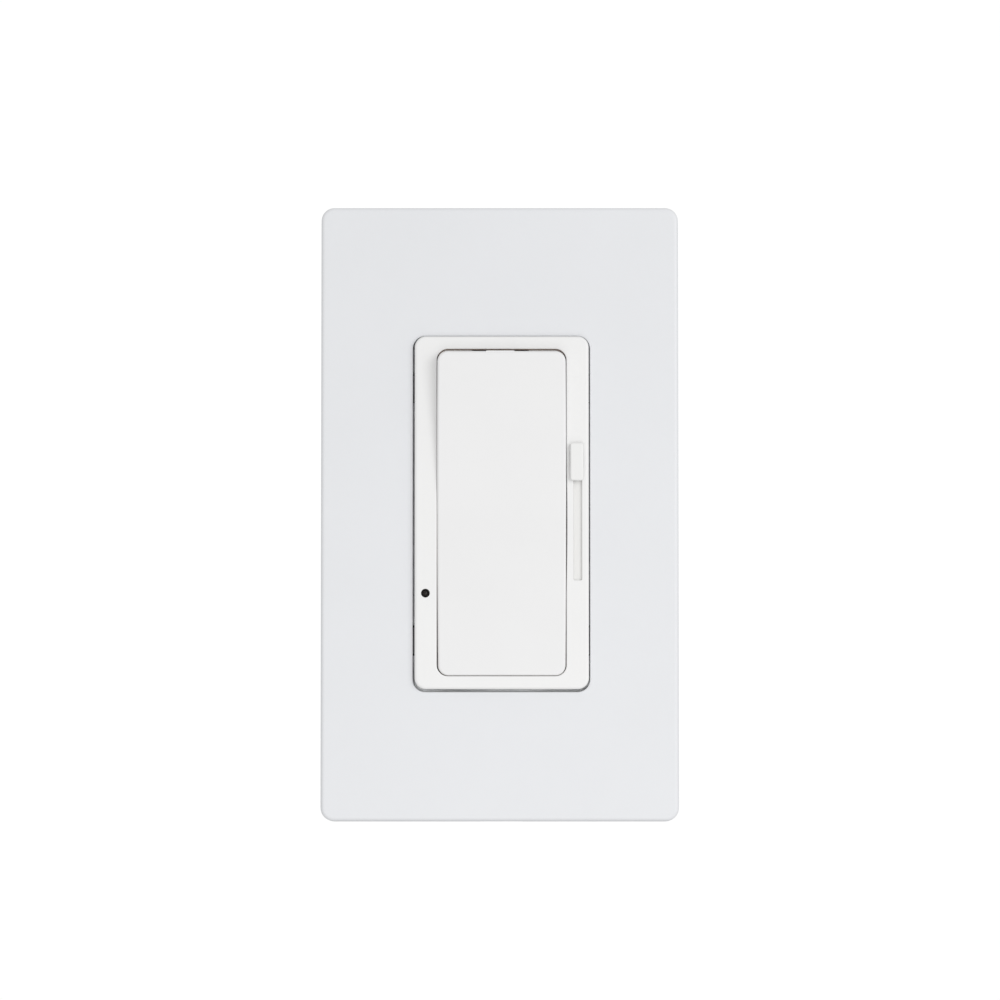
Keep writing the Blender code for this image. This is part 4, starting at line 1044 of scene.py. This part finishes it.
def build_slider():
    """The knob, with softened edges, and the strip that closes the slot behind it."""
    front, back = KNOB_Y
    centre = (KNOB_X, SLIDER_Z)
    base = (back, rounded_rectangle(*KNOB_HALF, KNOB_RADIUS, centre))
    knob = loft("knob", [base, *rounded_end(KNOB_HALF, KNOB_RADIUS, centre, front, KNOB_EDGE, 0.05)])
    socket = block(*SOCKET_HALF, (RAIL_X, SLIDER_Z))
    cut(knob, prism("knob_socket", socket, front + KNOB_SKIN, back + 1.0))
    stand_in(bake(knob), "slider_knob")
    low, high = SHUTTER_Z
    outline = rounded_rectangle(SHUTTER_HALF_X, (high - low) / 2, 0.4, (RAIL_X, (high + low) / 2), 6)
    strip = prism("shutter", outline, *SHUTTER_Y)
    cut(strip, prism("shutter_hole", socket, SHUTTER_Y[0] - 0.58, SHUTTER_Y[1] + 1.0))
    stand_in(soften(bake(strip), 0.06), "slot_shutter")


def build_light_pipe():
    """A smoked rod with a domed end, set back in the bezel's hole."""
    profile = []
    for angle in (0.12, 0.4, 0.8, 1.2, math.pi / 2):
        rise = PIPE_RADIUS * (1 - math.cos(angle)) * 0.5
        profile.append((PIPE_TIP + rise, PIPE_RADIUS * math.sin(angle)))
    profile += [(-6.35, PIPE_RADIUS), (-6.3, 0.62), (-6.3, 0.96), (1.2, 0.98)]
    stand_in(turned("pipe", profile, (-RAIL_X, INDICATOR_Z)), "indicator_lens")


# Housing and leads


def build_housing():
    """The rear cup, with rounded edges, a blank label panel, a strip gauge and collars for the leads."""
    front, back = HOUSING_Y
    wall = HOUSING_WALL
    far = [half - HOUSING_DRAFT for half in HOUSING_HALF]
    rim = (front, rounded_rectangle(*HOUSING_HALF, HOUSING_RADIUS))
    end = rounded_end(far, HOUSING_RADIUS, (0.0, 0.0), back, HOUSING_EDGE, 0.2, -1)
    shell = loft("housing", [rim, *end])
    inner, deep = (rounded_rectangle(x - wall, z - wall, HOLLOW_RADIUS) for x, z in (HOUSING_HALF, far))
    cut(shell, loft("housing_hollow", [(front - 1.0, inner), (back - wall, deep)]))
    bake(shell)
    for x in CASE_SCREW_X:
        for z in (-CASE_SCREW_Z, CASE_SCREW_Z):
            join(shell, prism("housing_boss", circle(2.25, (x, z), 32), front + 0.01, 14.0))
            cut(shell, prism("housing_pilot", circle(BOSS_HOLE, (x, z), 24), -1.0, 10.5))
    for name in ("black_lead", "red_lead", "yellow_lead"):
        x = BENDS[name][0][0]
        collar = ((back - 1.0, 2.5), (back + 0.9, 2.35), (back + 1.1, 2.15))
        join(shell, turned("housing_collar", collar, (x, LEAD_Z)))
        way_out = circle(LEAD_RADIUS + 0.3, (x, LEAD_Z), 32)
        cut(shell, prism("housing_exit", way_out, back - 4.0, back + 2.0))
    panel = rounded_rectangle(15.0, 14.0, 1.2, (0.0, 8.0), 5)
    cut(shell, prism("housing_panel", panel, back - 0.3, back + 1.0))
    gauge = rectangle(-14.0, -3.0, LEAD_Z - 0.9, LEAD_Z + 0.9)
    cut(shell, prism("housing_gauge", gauge, back - 0.5, back + 1.0))
    for z in GROOVES:
        groove = rounded_rectangle(15.0, 0.6, 0.59, (0.0, z), 5)
        cut(shell, prism("housing_groove", groove, back - 0.5, back + 1.0))
    stand_in(soften(bake(shell), 0.14, 50), "rear_housing")


def bezier(start, first, second, end, count):
    points = []
    for i in range(count + 1):
        t = i / count
        weights = ((1 - t) ** 3, 3 * t * (1 - t) ** 2, 3 * t * t * (1 - t), t ** 3)
        points.append(sum((Vector(p) * w for w, p in zip(weights, (start, first, second, end))), Vector()))
    return points


def build_strands(node, base, way):
    """Seven bare strands twisted together, six of them round the middle one."""
    side = way.orthogonal().normalized()
    other = way.cross(side)
    steps = 26
    whole = None
    for number in range(7):
        path = []
        for i in range(steps + 1):
            along = STRIP_LENGTH * i / steps
            turn = 2 * math.pi * (along / STRAND_LAY + number / 6)
            out = 0.0 if number == 6 else 2 * STRAND_RADIUS
            flare = 1 + 0.10 * (along / STRIP_LENGTH) ** 2
            path.append(base + way * along + (side * math.cos(turn) + other * math.sin(turn)) * out * flare)
        piece = tube("strand", path, STRAND_RADIUS, 10)
        if whole is None:
            whole = piece
        else:
            merge(whole, piece)
    stand_in(whole, node)


def merge(target, extra):
    """Put another object's mesh into target, without a Boolean."""
    shape = bmesh.new()
    shape.from_mesh(target.data)
    shape.from_mesh(extra.data)
    shape.to_mesh(target.data)
    shape.free()
    bpy.data.objects.remove(extra)
    smooth(target.data)


def build_leads():
    """Three leads start on the board, the green one in the ground terminal. All end in bare strands."""
    for name, bend in BENDS.items():
        x, _, z = bend[0]
        start = GROUND_LEAD_START if name == "green_lead" else LEAD_START
        path = [Vector((x, start, z)), *bezier(*bend, 60)]
        stand_in(tube(name, path, LEAD_RADIUS, 32), name)
        way = (path[-1] - path[-2]).normalized()
        build_strands(f"{name}_conductor", path[-1] + way * 0.15, way)


def dress_cad_nodes():
    """Give the CAD nodes that are still shown their finish, softened edges and clean shading."""
    for node, item in frame["nodes"].items():
        if item.hide_render:
            continue
        paint(item, node)
        weld = item.modifiers.new("weld", "WELD")
        weld.merge_threshold = WELD_DISTANCE * MM
        width = EDGES.get(node, USUAL_EDGE)
        if width:
            round_edges(item, width)
        shade_flats(item)


# Stage, lights and camera


def build_lights():
    """Square soft lights, aimed at the device's centre."""
    for name, place, size, power in LIGHTS:
        lamp = bpy.data.lights.new(name, "AREA")
        lamp.size = size
        lamp.energy = power
        item = bpy.data.objects.new(name, lamp)
        item.location = CENTRE + Vector(place)
        item.rotation_euler = (-Vector(place)).to_track_quat("-Z", "Y").to_euler()
        bpy.context.scene.collection.objects.link(item)


def build_floor():
    """A plain pale floor well below the device. It fades out with distance and is clear from beneath."""
    shape = bmesh.new()
    bmesh.ops.create_grid(shape, x_segments=1, y_segments=1, size=FLOOR_REACH)
    mesh = bpy.data.meshes.new("floor")
    shape.to_mesh(mesh)
    shape.free()
    floor = bpy.data.objects.new("floor", mesh)
    floor.location = (0.0, 0.0, cad_box[0].z - FLOOR_DROP)
    bpy.context.scene.collection.objects.link(floor)
    finish = Finish("floor_paint", (0.80, 0.80, 0.80), 0.8)
    finish.mottle(60.0, 0.01).polish(20.0, 0.05)
    where = finish.node("ShaderNodeTexCoord")
    away = finish.node("ShaderNodeVectorMath", operation="LENGTH")
    finish.link(where.outputs["Object"], away.inputs[0])
    start, end = (share * FLOOR_REACH for share in FLOOR_FADE)
    fade = finish.rescale(away.outputs["Value"], start, end, interpolation_type="SMOOTHSTEP")
    facing = finish.node("ShaderNodeNewGeometry")
    hidden = finish.math("MAXIMUM", fade, facing.outputs["Backfacing"])
    clear = finish.node("ShaderNodeBsdfTransparent")
    mix = finish.node("ShaderNodeMixShader")
    finish.link(hidden, mix.inputs["Fac"])
    finish.link(finish.shader.outputs["BSDF"], mix.inputs[1])
    finish.link(clear.outputs["BSDF"], mix.inputs[2])
    finish.link(mix.outputs["Shader"], finish.tree.nodes["Material Output"].inputs["Surface"])
    mesh.materials.append(finish.material)


def build_world():
    """An even surround: pure white where the camera sees it, and a little dimmer as a light."""
    world = bpy.data.worlds.new("studio")
    bpy.context.scene.world = world
    world.use_nodes = True
    tree = world.node_tree
    seen = tree.nodes.new("ShaderNodeLightPath")
    strength = tree.nodes.new("ShaderNodeMapRange")
    strength.inputs["To Min"].default_value = SURROUND
    strength.inputs["To Max"].default_value = BACKDROP
    tree.links.new(seen.outputs["Is Camera Ray"], strength.inputs["Value"])
    surround = tree.nodes["Background"]
    surround.inputs["Color"].default_value = (1.0, 1.0, 1.0, 1.0)
    tree.links.new(strength.outputs["Result"], surround.inputs["Strength"])


def build_camera():
    """A long lens, a little below the device's centre and looking slightly up at it."""
    lens = bpy.data.cameras.new("camera")
    lens.sensor_width = SENSOR
    lens.lens = LENS
    lens.shift_x, lens.shift_y = SHIFT
    camera = bpy.data.objects.new("camera", lens)
    drop = math.radians(CAMERA_DROP)
    away = Vector((0.0, -math.cos(drop), -math.sin(drop))) * CAMERA_DISTANCE
    camera.location = CENTRE + Vector((0.0, PLATE_FRONT * MM, 0.0)) + away
    camera.rotation_euler = (math.radians(90.0 + CAMERA_DROP), 0.0, 0.0)
    bpy.context.scene.collection.objects.link(camera)
    bpy.context.scene.camera = camera
    bpy.context.scene.view_settings.view_transform = "Standard"


build_wall_plate()
build_adapter()
build_screws()
build_yoke()
build_ground()
build_bezel()
build_paddle()
build_spring()
build_slider()
build_light_pipe()
build_housing()
build_leads()
dress_cad_nodes()
build_floor()
build_world()
build_lights()
build_camera()
